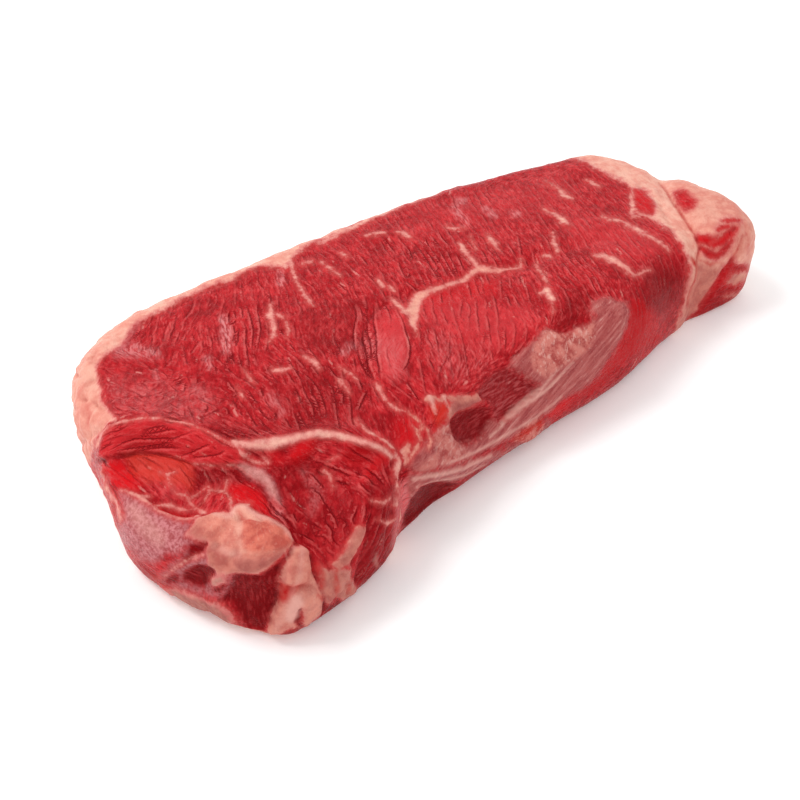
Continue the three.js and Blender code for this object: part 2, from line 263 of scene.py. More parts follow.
# Thin lilac membrane on the tail and the cap.
LILAC_OUTLINES = {
    "tail flap": (
        (122, 492), (133, 497), (147, 505), (158, 513), (172, 519), (186, 521), (196, 524), (190, 533),
        (196, 542), (186, 545), (180, 556), (170, 553), (162, 556), (154, 565), (141, 558), (129, 547),
        (117, 543), (120, 530), (124, 512),
    ),
    "tail wall": (
        (160, 580), (170, 566), (182, 557), (196, 548), (210, 552), (216, 566), (232, 574), (227, 588),
        (218, 598), (200, 595), (178, 589),
    ),
    "tail veil": (
        (238, 466), (246, 464), (252, 468), (262, 470), (270, 478), (276, 490), (280, 502), (272, 496),
        (264, 484), (254, 478), (246, 474),
    ),
    "cap film": (
        (107, 346), (112, 333), (121, 324), (133, 320), (141, 318), (135, 327), (128, 336), (125, 346),
        (116, 350),
    ),
}

# Shapes that only tint the meat, bare the lean, or raise or press the surface.
OTHER_OUTLINES = {
    "everywhere": ((0, 0), (800, 0), (800, 800), (0, 800)),
    "left cap": ((60, 345), (112, 345), (104, 400), (108, 430), (90, 480), (60, 480)),
    "right lobe": (
        (634, 190), (642, 189), (648, 196), (654, 207), (653, 215), (646, 214), (639, 212), (634, 206),
    ),
    "end dot halo": ((672, 192), (684, 189), (694, 196), (699, 204), (695, 213), (684, 213), (675, 206)),
    "end dot": ((675, 194), (684, 192), (692, 198), (696, 204), (693, 210), (684, 210), (678, 203)),
    "end floor": (
        (686, 319), (698, 309), (704, 301), (711, 291), (716, 281), (722, 270), (728, 264), (732, 258),
        (735, 264), (748, 266), (748, 271), (738, 273), (748, 280), (746, 292), (738, 304), (722, 312),
        (704, 318),
    ),
    "end low": ((694, 262), (740, 268), (752, 300), (690, 330), (672, 330), (684, 300)),
    "end knob": ((670, 180), (760, 180), (760, 262), (700, 262), (690, 225)),
    "end heart": (
        (699, 236), (712, 234), (724, 226), (740, 219), (746, 226), (738, 240), (728, 252), (714, 258),
        (703, 250),
    ),
    "pocket right": (
        (478, 393), (487, 380), (496, 372), (507, 369), (518, 374), (530, 382), (537, 390), (529, 402),
        (516, 412), (502, 422), (495, 418), (496, 408), (489, 401), (481, 399),
    ),
    "pocket left": (
        (452, 429), (451, 420), (459, 412), (471, 409), (485, 408), (495, 411), (492, 420), (484, 431),
        (472, 441), (462, 444), (455, 440),
    ),
    "undercut": (
        (398, 548), (405, 520), (412, 500), (422, 488), (436, 483), (450, 483), (458, 486), (445, 497),
        (432, 509), (420, 520), (408, 535),
    ),
    "near notch": (
        (553, 330), (556, 318), (568, 300), (580, 290), (592, 292), (590, 312), (578, 325), (562, 334),
    ),
    "crinkle": (
        (528, 358), (533, 345), (541, 335), (548, 328), (556, 332), (568, 333), (580, 327), (594, 322),
        (596, 338), (588, 350), (572, 362), (556, 371), (545, 379), (535, 372),
    ),
    "block": (
        (233, 574), (259, 575), (281, 562), (284, 559), (281, 581), (277, 596), (275, 607), (269, 621),
        (262, 634), (253, 633), (242, 623), (233, 606), (220, 601), (226, 587),
    ),
    "patch high": ((187, 543), (207, 543), (204, 551), (195, 560), (185, 565), (179, 568), (185, 555)),
    "patch low": (
        (182, 573), (198, 565), (212, 567), (215, 573), (211, 581), (204, 588), (192, 587), (182, 581),
    ),
    "patch left": ((162, 581), (173, 573), (179, 574), (178, 584), (167, 585)),
    "patch right": ((211, 588), (223, 584), (226, 588), (220, 594), (214, 593)),
    "lump shade": ((204, 550), (218, 552), (236, 560), (236, 575), (222, 576), (206, 568)),
    "column white": ((292, 592), (300, 591), (302, 598), (297, 614), (292, 620), (284, 617), (287, 604)),
    "foot gap": ((313, 562), (319, 563), (320, 575), (320, 584), (314, 578)),
    "tail side": (
        (360, 490), (378, 478), (396, 490), (398, 520), (394, 548), (380, 575), (360, 592), (352, 580),
        (366, 550), (372, 520),
    ),
    "corner face": (
        (276, 474), (296, 464), (322, 466), (345, 478), (356, 496), (356, 524), (344, 548), (326, 562),
        (310, 546), (298, 540), (288, 522), (280, 498),
    ),
    "corner foot": ((318, 600), (330, 604), (345, 600), (352, 592), (356, 600), (340, 612), (320, 612)),
    "left foot": ((118, 545), (134, 560), (150, 572), (160, 585), (150, 585), (128, 565), (114, 548)),
    "right foot": ((690, 318), (706, 300), (720, 286), (745, 290), (736, 306), (710, 318)),
    "left hollow": (
        (205, 420), (250, 425), (300, 415), (345, 420), (350, 434), (300, 436), (245, 440), (215, 436),
    ),
    "middle": ((280, 380), (320, 362), (360, 372), (372, 400), (360, 428), (300, 432), (270, 420)),
    "blob": ((300, 306), (330, 296), (356, 306), (360, 330), (352, 352), (322, 358), (300, 346)),
    "right dark": ((640, 276), (660, 262), (680, 268), (682, 300), (664, 318), (644, 310)),
    "right wall": (
        (631, 303), (641, 300), (652, 312), (652, 330), (660, 338), (640, 350), (622, 362), (606, 380),
        (588, 394), (570, 404), (580, 391), (594, 382), (606, 366), (616, 350), (625, 334), (630, 318),
    ),
    "near tip": ((545, 414), (556, 405), (568, 398), (578, 396), (566, 408), (552, 418)),
    "flank flare": ((430, 402), (442, 402), (450, 404), (448, 416), (438, 427), (430, 420)),
    "flank rise": ((395, 420), (412, 414), (424, 424), (416, 440), (404, 452), (396, 440)),
    "lip": (
        (98, 456), (104, 434), (118, 423), (145, 419), (180, 423), (206, 430), (228, 440), (246, 454),
        (247, 465), (214, 466), (193, 466), (172, 457), (150, 453), (122, 456), (106, 460),
    ),
    "lip heart": (
        (128, 448), (150, 440), (176, 444), (200, 454), (222, 462), (196, 465), (172, 456), (148, 452),
    ),
    "tail floor": (
        (105, 462), (122, 458), (150, 455), (172, 460), (193, 468), (243, 467), (262, 478), (276, 498),
        (282, 515), (262, 515), (240, 503), (228, 511), (200, 516), (172, 512), (150, 502), (135, 493),
        (120, 488), (108, 478),
    ),
    "tail hollow": ((194, 470), (216, 468), (240, 468), (246, 478), (230, 482), (208, 482), (196, 486)),
    "tail left": ((103, 466), (116, 461), (134, 468), (142, 482), (136, 492), (120, 490), (110, 482)),
    "tail red": (
        (227, 486), (242, 483), (259, 490), (268, 503), (270, 514), (257, 512), (245, 503), (233, 498),
    ),
    "tail muscle": (
        (134, 463), (152, 457), (172, 461), (188, 469), (192, 480), (186, 494), (170, 492), (150, 482),
    ),
    "tail bead": ((208, 492), (224, 491), (230, 504), (226, 512), (208, 514), (198, 508)),
    "cuff pocket": (
        (160, 506), (168, 504), (177, 507), (190, 513), (193, 517), (180, 517), (168, 513), (160, 510),
    ),
    "corner left": ((289, 458), (294, 447), (304, 441), (313, 441), (314, 450), (306, 459), (296, 463)),
    "corner right": (
        (343, 455), (348, 446), (358, 441), (370, 444), (375, 450), (370, 460), (362, 466), (350, 462),
    ),
    "corner rise": (
        (363, 478), (368, 466), (378, 453), (385, 446), (392, 450), (388, 460), (378, 470), (370, 480),
    ),
    "corner rim": ((266, 452), (274, 450), (284, 456), (286, 463), (276, 464)),
    "edge strip": (
        (398, 482), (410, 478), (410, 500), (407, 530), (400, 545), (392, 549), (396, 520), (395, 500),
    ),
    "seam flare": ((420, 300), (440, 292), (470, 284), (498, 277), (496, 290), (465, 298), (438, 304)),
    "left crest": ((92, 462), (104, 480), (116, 512), (122, 545), (114, 540), (100, 490)),
    "tail patch": (
        (123, 455), (140, 454), (160, 455), (178, 459), (194, 467), (194, 480), (190, 489), (178, 487),
        (164, 484), (148, 482), (132, 472),
    ),
    "flank bead": ((512, 440), (520, 430), (532, 421), (541, 418), (543, 424), (538, 432), (526, 441)),
    "flank glow": ((432, 404), (444, 402), (450, 410), (440, 422)),
    "flank tan": (
        (430, 437), (440, 428), (448, 418), (452, 430), (457, 441), (466, 448), (476, 452), (456, 462),
        (430, 470), (414, 472), (420, 462), (432, 452),
    ),
    "pad low": ((446, 401), (462, 402), (484, 397), (484, 412), (450, 424)),
    "left spark": ((150, 575), (160, 576), (165, 586), (156, 586)),
    "lump left": (
        (192, 526), (200, 519), (214, 515), (228, 514), (238, 520), (240, 536), (242, 551), (232, 558),
        (216, 557), (206, 552), (207, 543), (197, 540), (188, 535),
    ),
    "lump right": (
        (243, 520), (256, 525), (264, 518), (276, 523), (289, 532), (293, 545), (286, 552), (270, 554),
        (255, 556), (244, 552), (240, 538),
    ),
    "lump low": (
        (228, 562), (240, 557), (256, 559), (272, 557), (284, 554), (274, 562), (262, 572), (249, 575),
        (238, 570),
    ),
    "lump top": ((228, 504), (240, 503), (252, 509), (262, 517), (256, 524), (244, 519), (234, 513)),
    "column top": ((287, 550), (300, 545), (309, 553), (313, 568), (307, 581), (293, 585), (283, 580)),
    "column low": (
        (281, 592), (296, 587), (311, 590), (323, 600), (321, 612), (306, 625), (290, 634), (268, 636),
        (270, 618),
    ),
    "hatch": (
        (105, 362), (150, 366), (200, 362), (236, 384), (232, 418), (190, 420), (140, 414), (108, 402),
    ),
    "flank zone": ((405, 395), (480, 390), (480, 480), (400, 480)),
    "veil film": (
        (258, 470), (268, 476), (280, 492), (286, 510), (284, 524), (274, 515), (272, 500), (262, 485),
    ),
    "lump film": (
        (184, 520), (205, 523), (214, 540), (236, 556), (236, 578), (204, 572), (196, 545), (182, 540),
    ),
    "column zone": ((262, 545), (360, 560), (360, 640), (255, 640)),
    "strip zone": ((330, 520), (370, 520), (360, 575), (325, 575)),
}

OTHER_STROKES = {
    "end swirl": (
        (699, 238, 3), (706, 240, 4.5), (714, 243, 4.5), (722, 240, 5), (729, 234, 4), (734, 229, 1.5),
    ),
    "end hook": ((702, 248, 2), (709, 254, 3), (718, 256, 3.5), (726, 248, 2.4), (731, 240, 1.4)),
    "end line": ((700, 260, 1.2), (710, 264, 1.8), (721, 262, 1.2)),
    "end tick": ((720, 222, 0.8), (730, 221.5, 2), (740, 221, 1)),
    "end crack": ((724, 272, 1.6), (738, 269, 1.8), (748, 267, 1)),
    "end rim": (
        (700, 306, 2), (712, 290, 2.4), (722, 276, 2.4), (730, 264, 1.6), (737, 250, 1), (741, 236, 0.8),
    ),
    "end shade": ((745, 290, 2), (748, 270, 2), (748, 245, 2), (744, 225, 2)),
    "cap crack": (
        (659, 182, 0.6), (667, 192, 1), (673, 203, 1.6), (679, 211, 1.6), (687, 223, 1), (696, 236, 1.4),
        (700, 248, 1.4), (697, 262, 1), (694, 280, 0.8), (688, 306, 0.8),
    ),
    "cap nick": ((690, 259, 1), (693, 264, 2.6), (695, 268, 1)),
    "left nick": ((86, 405, 1), (88, 414, 2.4), (86, 425, 1)),
    "left fold high": ((74, 374, 2), (84, 378, 2.4), (96, 376, 1.6)),
    "left fold": ((76, 398, 2), (88, 400, 2.6), (102, 408, 1.6)),
    "left fold low": ((80, 446, 2), (90, 436, 2.6), (104, 426, 1.6)),
    "left plate": ((156, 318, 1.6), (149, 333, 2.2), (143, 348, 1.4)),
    "column nick": ((277, 599, 2.5), (283, 593, 6), (290, 588, 6), (297, 585, 2.5)),
    "column notch": ((300, 604, 0.8), (298, 612, 3), (297, 619, 4), (301, 625, 2)),
    "column gap": ((279, 633, 1), (288, 629, 2.2), (297, 626, 2)),
    "column speck": ((316, 593, 0.8), (320, 597, 1.4)),
    "lump nick": ((237, 511, 1.2), (242, 517, 2.4), (249, 523, 1.8), (256, 525, 0.8)),
    "left streak": ((223, 319, 4), (226, 330, 6), (227, 350, 4)),
    "cap smudge": ((280, 272, 3), (281, 281, 4)),
    "middle smudge": ((345, 350, 5), (352, 345, 4)),
    "left smudge": ((207, 360, 4), (210, 367, 3)),
    "hatch smudge": ((156, 372, 3), (157, 381, 4)),
    "hatch film": ((196, 390, 6), (207, 398, 5)),
    "upper film": ((455, 208, 4), (466, 221, 3)),
    "upper dot": ((459, 201, 4), (464, 202, 3)),
    "back film": ((485, 209, 3), (493, 215, 4)),
    "back dot": ((513, 213, 3), (518, 214, 3)),
    "rim film": ((118, 352, 6), (136, 350, 7), (156, 353, 5)),
    "lower film": ((272, 398, 6), (281, 412, 6)),
    "left haze": ((120, 395, 16), (160, 400, 18), (200, 405, 14)),
    "cheek haze": ((366, 345, 8), (392, 350, 12), (396, 372, 8)),
    "near haze": ((440, 340, 12), (455, 370, 14), (480, 360, 12)),
    "corner flecks": ((306, 470, 5), (318, 490, 6), (312, 510, 5)),
    "right film": ((646, 270, 5), (660, 290, 8), (664, 310, 8)),
    "white strand": ((572, 362, 0.6), (548, 386, 1.2), (526, 404, 1.4), (506, 420, 1.2), (488, 437, 0.8)),
    "white strand high": ((560, 366, 0.5), (540, 388, 1), (518, 408, 1.2), (500, 424, 0.6)),
    "white strand low": ((560, 396, 0.5), (532, 418, 1), (504, 435, 1.2), (476, 451, 1.2), (446, 463, 1)),
    "strip strand": ((412, 478, 1.2), (436, 474, 1.8), (462, 467, 1.4), (490, 455, 0.8)),
    "strip strand low": ((416, 486, 0.8), (438, 480, 1.4), (466, 474, 1), (486, 464, 0.6)),
    "flank strand": ((429, 398, 1.8), (432, 405, 1.6), (435, 415, 0.4)),
    "flank strand right": ((443, 396, 1.4), (445, 403, 1), (449, 411, 0.4)),
    "strip crack": ((413, 473, 0.6), (430, 473, 0.9), (441, 469, 0.9), (447, 467, 0.4)),
    "foot fold": ((334, 570, 1), (334, 582, 1.6), (333, 596, 1)),
    "foot fold left": ((320, 566, 1), (322, 576, 1.6), (321, 588, 1)),
    "foot hole": ((345, 580, 0.6), (347, 586, 1.6), (345, 592, 0.6)),
    "side fleck": ((376, 553, 0.6), (375, 560, 2.2), (378, 567, 1.2)),
    "end blob": ((716, 232, 0.8), (721, 229, 2.4), (727, 228, 1)),
    "lip fold": (
        (98, 461, 2), (108, 459, 2.4), (122, 457, 2.6), (137, 454, 2.6), (152, 454, 2.6), (168, 457, 2.6),
        (182, 463, 2.4), (194, 467, 2), (216, 467, 1.8), (240, 466, 1.8), (252, 470, 1.4),
    ),
    "fold fill": (
        (112, 464, 3), (130, 461, 4), (152, 459, 4), (172, 463, 4), (190, 470, 4), (216, 470, 3),
        (240, 470, 2),
    ),
    "lump crest": (
        (216, 516, 2), (229, 519, 1.4), (237, 506, 2), (248, 511, 2.4), (261, 517, 2.4), (272, 524, 2.4),
        (284, 530, 2.4), (290, 540, 2),
    ),
    "lump gleam": ((216, 546, 2.4), (228, 552, 3), (240, 556, 2)),
    "column gleam": ((300, 552, 2), (298, 572, 2.4), (292, 592, 3), (284, 612, 3), (274, 630, 2)),
    "flap gleam": ((134, 510, 5), (146, 526, 8), (158, 538, 7)),
    "lump split": ((236, 512, 2.4), (241, 526, 2.4), (242, 546, 2.4), (234, 559, 2.4)),
    "lump shelf": ((238, 556, 2.4), (255, 558, 2.4), (270, 556, 2.4), (288, 553, 2)),
    "lump crown": ((240, 516, 2), (252, 523, 2.2), (264, 521, 2)),
    "lump dip": ((200, 541, 2), (214, 547, 2.4), (228, 546, 1.4)),
    "column split": ((290, 550, 2.4), (284, 574, 2.6), (279, 594, 2.6), (270, 622, 2.6)),
    "column waist": ((280, 590, 2), (296, 586, 2.4), (312, 586, 2)),
    "foot split": ((311, 556, 2.4), (317, 574, 2.6), (324, 596, 2.6), (322, 612, 2)),
    "foot wave": ((329, 572, 1.6), (332, 586, 1.8), (337, 600, 1.6)),
    "foot wave right": ((341, 574, 1.4), (344, 586, 1.6), (346, 598, 1.4)),
    "side split": ((372, 472, 1.6), (374, 500, 2), (368, 540, 2.2), (356, 582, 2)),
    "side split right": ((398, 480, 1.6), (392, 510, 2), (386, 545, 2)),
    "band groove": ((640, 186, 2), (660, 206, 2.2), (672, 230, 2.2), (680, 252, 2)),
    "band groove low": ((686, 262, 1.6), (686, 285, 1.8), (680, 312, 1.6)),
    "cheek edge": ((383, 304, 1.4), (368, 318, 2), (362, 340, 2), (365, 362, 1.8), (374, 384, 1.4)),
    "near edge": ((414, 336, 1.4), (408, 356, 1.6), (410, 378, 1.6), (418, 396, 1.2)),
    "cap edge": ((128, 336, 1.4), (160, 314, 1.6), (205, 291, 1.6), (248, 274, 1.4)),
    "corner seam rise": ((250, 446, 6), (285, 442, 7), (318, 434, 6), (350, 438, 6), (380, 448, 5)),
    "knob rise": ((690, 200, 16), (712, 214, 18), (735, 240, 14)),
    "band rise": ((655, 196, 8), (672, 222, 9), (684, 250, 8), (690, 278, 7)),
    "cheek rise": ((392, 326, 14), (394, 350, 17), (392, 368, 12)),
    "near rise": ((430, 310, 10), (470, 320, 22), (500, 330, 22), (520, 318, 14)),
    "right rise": ((585, 230, 14), (620, 240, 16), (650, 250, 10)),
    "far rise": ((420, 225, 12), (500, 205, 14), (560, 190, 12)),
}

SHAPES = {
    **MARBLING, **FAT_OUTLINES, **SILVER_OUTLINES, **LILAC_OUTLINES, **OTHER_OUTLINES, **OTHER_STROKES,
}

# Lean that shows through the fat and through the membranes.
ISLANDS = (
    "right lobe", "end floor", "end dot", "end swirl", "end hook", "end tick", "end blob", "column notch",
    "column gap",
)
PATCHES = ("patch high", "patch low", "patch left", "patch right")

# Tints: how strong each shape's is, and how many pixels it fades over. Deep, fresh, veil and bright are for
# lean, amber for lean and silver-skin, blush and stain for fat, a shade tint for fat and membrane, and pale
# for all. Deep is darker lean and also painted shade in pockets, undercuts, folds, gaps and on shaded walls;
# veil is a pale film and also painted sheen; bright is lighter lean and also painted light on a shaded wall;
# the tint for fat and membrane is painted shade, in places a greyer film; pale is pale strands and also
# painted highlights. Hatch is where the grain is crossed.
# Darker lean, and painted shade in pockets, undercuts, folds, notches, gaps and on shaded walls.
DARK_LEAN_AND_SHADE = {
    "pocket right": (0.6, 5), "pocket left": (0.85, 4), "undercut": (1.0, 4), "near notch": (0.6, 8),
    "block": (1.0, 4), "patch high": (1.0, 4), "patch low": (1.0, 4), "patch left": (0.8, 4),
    "patch right": (1.0, 3), "tail side": (0.55, 8), "corner face": (0.25, 10), "corner foot": (0.8, 5),
    "left foot": (0.5, 6), "right foot": (0.6, 8), "left hollow": (0.5, 14), "middle": (0.35, 18),
    "blob": (0.4, 14), "right dark": (0.75, 14), "lip heart": (0.15, 8), "end floor": (0.2, 5),
    "right wall": (0.35, 6), "corner right": (0.65, 6), "corner rise": (0.2, 6), "tail hollow": (0.6, 5),
    "lip fold": (0.6, 1.6), "column notch": (1.0, 2.5), "column gap": (1.0, 2.5),
}
FRESH = {
    "right wall": (1.0, 5), "near tip": (0.9, 4), "flank flare": (0.7, 6), "flank rise": (0.7, 8),
    "lip": (0.35, 6), "foot gap": (1.0, 3), "right lobe": (0.7, 4), "end dot": (0.4, 4),
    "end swirl": (0.8, 4), "end hook": (0.7, 3), "end tick": (0.8, 3), "end blob": (0.8, 3),
    "end floor": (0.6, 5), "tail left": (1.0, 6), "tail red": (1.0, 5), "corner left": (0.9, 6),
    "corner right": (0.9, 6), "corner rise": (0.8, 5), "corner rim": (0.7, 5), "seam flare": (0.6, 10),
    "left crest": (0.5, 8), "cuff pocket": (1.0, 3), "left foot": (0.6, 5),
}
AMBER = {
    "tail patch": (1.0, 6), "flank bead": (1.0, 4), "flank flare": (0.9, 5), "flank glow": (0.5, 5),
    "flank tan": (0.35, 5), "left spark": (0.8, 4), "crinkle": (0.5, 6),
}
BLUSH = {
    "everywhere": (0.05, 4), "left cap": (0.25, 8), "lump right": (0.9, 5), "lump left": (0.6, 6),
    "lump top": (0.35, 4), "lump under": (0.65, 5), "main seam": (0.35, 5), "seam fork": (0.3, 4),
    "column zone": (0.55, 6), "end low": (0.6, 10), "end knob": (0.3, 10), "strip zone": (0.6, 6),
    "flank zone": (0.6, 6),
}
STAIN = {
    "end swirl": (0.6, 5), "end hook": (0.6, 4), "end line": (0.7, 2.5), "strip crack": (0.6, 1.2),
    "end crack": (0.9, 2), "end rim": (0.9, 3), "end shade": (0.5, 4), "cap crack": (0.75, 1.6),
    "cap nick": (1.0, 2), "left nick": (0.5, 4), "column nick": (1.0, 3.5), "column speck": (0.8, 2),
    "lump nick": (0.8, 2.5), "end dot halo": (0.5, 3), "end heart": (0.45, 6), "foot fold": (0.8, 2),
    "foot fold left": (0.9, 2), "foot hole": (0.7, 2),
}
# Painted shade on fat and membrane, mostly low on the tail, and a greyer film on the lump film and the flank
# pad.
DULL_SHADE = {
    "lump low": (0.8, 5), "lump shade": (0.5, 8), "lump film": (0.5, 10), "tail base": (0.8, 5),
    "tail pad": (0.7, 4), "tail foot": (0.55, 4), "tail strip": (0.5, 4), "column zone": (0.2, 6),
    "end low": (0.4, 10), "flank pad": (0.4, 4), "pad low": (0.9, 5), "tail web": (0.5, 3),
    "tail wall": (0.35, 6),
}
# A pale film over the lean in streaks and smudges, and painted sheen in the broad hazes.
VEIL_AND_SHEEN = {
    "veil film": (0.5, 6), "pocket right": (0.35, 6), "pocket left": (0.15, 6), "left streak": (1.0, 4),
    "cap smudge": (0.8, 3), "middle smudge": (0.9, 4), "left smudge": (0.8, 4), "hatch smudge": (0.7, 3),
    "hatch film": (0.6, 6), "upper film": (0.8, 4), "upper dot": (0.8, 4), "back film": (0.8, 3),
    "back dot": (0.8, 3), "rim film": (0.7, 6), "lower film": (0.5, 6), "left haze": (0.35, 16),
    "cheek haze": (0.4, 8), "near haze": (0.25, 12), "corner flecks": (0.5, 5), "right film": (0.2, 6),
    "edge strip": (0.85, 4),
}
# Pale strands and fat, and painted highlights on the lump crest and the gleams.
PALE = {
    "white strand": (0.9, 1.4), "white strand high": (0.8, 1.2), "white strand low": (0.8, 1.4),
    "strip strand": (0.9, 1.8), "strip strand low": (0.8, 1.6), "flank strand": (0.9, 1.6),
    "flank strand right": (0.8, 1.4), "side fleck": (0.4, 2), "lump crest": (0.75, 3),
    "corner seam": (0.4, 3), "lump gleam": (0.5, 4), "column gleam": (0.4, 3), "column white": (1.0, 3),
    "tail veil": (0.5, 3), "flap gleam": (0.4, 8),
}
# Lighter lean, and on the edge strip painted light where the wall is in shade.
BRIGHT = {
    "cheek rise": (0.7, 8), "near rise": (0.5, 14), "right rise": (0.5, 16), "far rise": (0.3, 20),
    "lip": (0.5, 6), "tail muscle": (0.4, 6), "edge strip": (1.0, 4),
}
HATCH = {"hatch": (1.0, 16), "corner face": (1.0, 8)}
# Each tint's shapes, and its strength on the sides that the photo hides.
TINTS = {
    "deep": (DARK_LEAN_AND_SHADE, 0), "fresh": (FRESH, 0), "amber": (AMBER, 0), "blush": (BLUSH, 0.12), "stain": (STAIN, 0),
    "dull_shade": (DULL_SHADE, 0), "veil": (VEIL_AND_SHEEN, 0), "pale": (PALE, 0), "hatch": (HATCH, 0.3), "bright": (BRIGHT, 0),
}

# Relief: how high each shape stands, in mm, and how many pixels its flank takes.
RELIEF = {
    "lip": (0.9, 4), "lip fold": (-0.3, 2), "fold fill": (1.6, 7), "tail floor": (-0.7, 4),
    "tail muscle": (1.3, 8), "tail left": (0.6, 5), "tail bead": (0.7, 4), "tail red": (0.8, 5),
    "tail cuff": (0.7, 3), "cuff pocket": (-0.7, 2.5), "tail veil": (0.5, 4), "tail star": (0.3, 2),
    "tail cell": (0.3, 2), "lump left": (0.7, 6), "lump right": (1.0, 6), "lump low": (0.7, 4),
    "lump top": (0.7, 4), "lump split": (-0.3, 3), "lump shelf": (-0.25, 3), "lump crown": (-0.4, 2),
    "lump dip": (-0.5, 3), "block": (-1.3, 5), "patch high": (-0.7, 4), "patch low": (-0.7, 4),
    "tail pad": (0.6, 4), "column top": (1.0, 5), "column low": (1.1, 5), "column split": (-0.8, 2),
    "column waist": (-0.6, 2), "column notch": (-0.6, 2), "tail foot": (0.8, 4), "foot split": (-1.0, 2),
    "foot wave": (-0.6, 1.8), "foot wave right": (-0.5, 1.8), "tail strip": (0.9, 3), "tail base": (0.5, 4),
    "side split": (-0.8, 2.5), "side split right": (-0.7, 2.5), "corner strand": (0.6, 2.5),
    "corner face": (-1.0, 9), "corner left": (1.1, 7), "corner right": (1.1, 7), "corner rise": (0.7, 5),
    "corner seam rise": (0.6, 5), "corner fork": (0.5, 3), "pocket right": (-1.3, 5),
    "pocket left": (-1.2, 5), "silver": (0.5, 3), "strip": (0.4, 3), "undercut": (-1.0, 5),
    "white strand": (0.4, 2), "strip strand": (0.4, 2.5), "flank pad": (0.5, 4), "flank flare": (0.5, 5),
    "flank bead": (0.6, 4), "near notch": (-0.6, 8), "cap crack": (-0.9, 2.5), "band groove": (-0.5, 2.5),
    "band groove low": (-0.5, 2), "knob rise": (0.6, 12), "band rise": (0.5, 6), "end swirl": (-0.4, 3),
    "end hook": (-0.4, 2.5), "end rim": (-0.8, 2.5), "end dot": (-0.4, 4), "end crack": (-0.5, 2),
    "left nick": (-0.5, 4), "left fold high": (-0.6, 4), "left fold": (-0.7, 4), "left fold low": (-0.6, 4),
    "left plate": (-0.5, 2.5), "cheek edge": (-0.7, 2.5), "near edge": (-0.5, 2.5), "cheek rise": (0.5, 12),
    "cap edge": (-0.4, 2.5), "main seam": (-0.3, 3), "corner thread": (0.3, 2), "lower vein": (-0.25, 2),
}

# Grain: wrinkles of lean run from one pixel to another, (column, row, column, row, mm apart, mm deep).
GRAIN = (
    (150, 330, 140, 358, 3.0, 0.30), (125, 372, 150, 384, 3.0, 0.22), (180, 330, 170, 360, 3.2, 0.26),
    (130, 398, 155, 410, 2.6, 0.30), (175, 395, 195, 380, 2.6, 0.32), (200, 410, 215, 425, 2.4, 0.32),
    (200, 350, 196, 380, 3.0, 0.30), (225, 345, 235, 375, 2.8, 0.30), (240, 390, 258, 408, 2.4, 0.38),
    (255, 320, 256, 350, 2.6, 0.46), (215, 300, 212, 320, 3.2, 0.24), (270, 290, 276, 310, 2.8, 0.30),
    (270, 415, 285, 432, 2.2, 0.38), (305, 395, 316, 418, 2.3, 0.46), (340, 400, 342, 430, 2.6, 0.46),
    (290, 350, 305, 365, 2.8, 0.28), (320, 325, 318, 350, 3.0, 0.20), (345, 315, 352, 335, 2.8, 0.30),
    (364, 345, 368, 378, 2.3, 0.50), (394, 340, 390, 372, 4.2, 0.14), (330, 285, 346, 302, 3.0, 0.26),
    (380, 258, 394, 275, 3.0, 0.28), (350, 245, 363, 257, 3.2, 0.22), (425, 255, 440, 280, 2.6, 0.42),
    (455, 258, 464, 280, 2.6, 0.40), (420, 222, 434, 238, 3.4, 0.24), (480, 215, 492, 231, 3.4, 0.24),
    (490, 255, 498, 268, 3.0, 0.28), (530, 215, 541, 230, 3.4, 0.24), (585, 205, 597, 217, 3.4, 0.24),
    (560, 250, 570, 265, 3.0, 0.26), (610, 240, 622, 255, 2.8, 0.28), (650, 262, 658, 280, 2.6, 0.24),
    (430, 330, 438, 360, 3.2, 0.34), (460, 340, 466, 372, 3.4, 0.36), (495, 310, 500, 345, 3.6, 0.34),
    (530, 300, 540, 325, 3.2, 0.30), (575, 285, 588, 305, 2.8, 0.40), (410, 385, 425, 402, 3.4, 0.22),
    (385, 415, 392, 432, 3.4, 0.20), (650, 315, 646, 335, 3.0, 0.22), (505, 390, 520, 378, 2.4, 0.20),
    (472, 425, 486, 414, 2.4, 0.20), (120, 440, 150, 430, 1.9, 0.40), (165, 436, 195, 440, 1.9, 0.44),
    (215, 448, 238, 458, 2.0, 0.36), (170, 485, 185, 500, 2.2, 0.24), (215, 500, 222, 486, 2.2, 0.24),
    (250, 495, 266, 508, 2.2, 0.26), (120, 475, 134, 485, 2.4, 0.26), (300, 490, 322, 520, 2.2, 0.48),
    (335, 500, 318, 522, 2.2, 0.46), (330, 535, 345, 548, 2.4, 0.44), (355, 480, 372, 490, 2.6, 0.36),
    (375, 545, 384, 525, 2.6, 0.30), (250, 600, 256, 622, 2.6, 0.26), (310, 450, 325, 456, 3.0, 0.20),
    (140, 535, 160, 550, 2.6, 0.16), (700, 300, 725, 290, 2.8, 0.24), (590, 350, 612, 320, 2.2, 0.18),
    (450, 470, 490, 455, 2.0, 0.14), (250, 545, 275, 545, 3.4, 0.16), (300, 585, 305, 610, 3.0, 0.20),
    (700, 200, 720, 215, 3.6, 0.16), (680, 250, 690, 280, 3.0, 0.18), (90, 400, 88, 430, 3.4, 0.20),
)
# Grain on the sides that the photo hides: (point in mm, direction, spacing mm, depth mm).
HIDDEN_GRAIN = tuple(
    ((x, 60, 14), (1, 0, 0.2), 3.2, 0.22) for x in range(-80, 90, 28)
) + (((105, 15, 14), (0, 1, 0.3), 3.2, 0.22), ((-105, 15, 14), (0, 1, -0.3), 3.0, 0.22))
# How far the grain bends and wavers, in radians, how much more it wavers where it is crossed, and how evenly
# fine fibres run all ways there.
GRAIN_BEND = 0.2
GRAIN_WAVER = 0.28
HATCH_WAVER = 1.1
HATCH_EVEN = 0.75
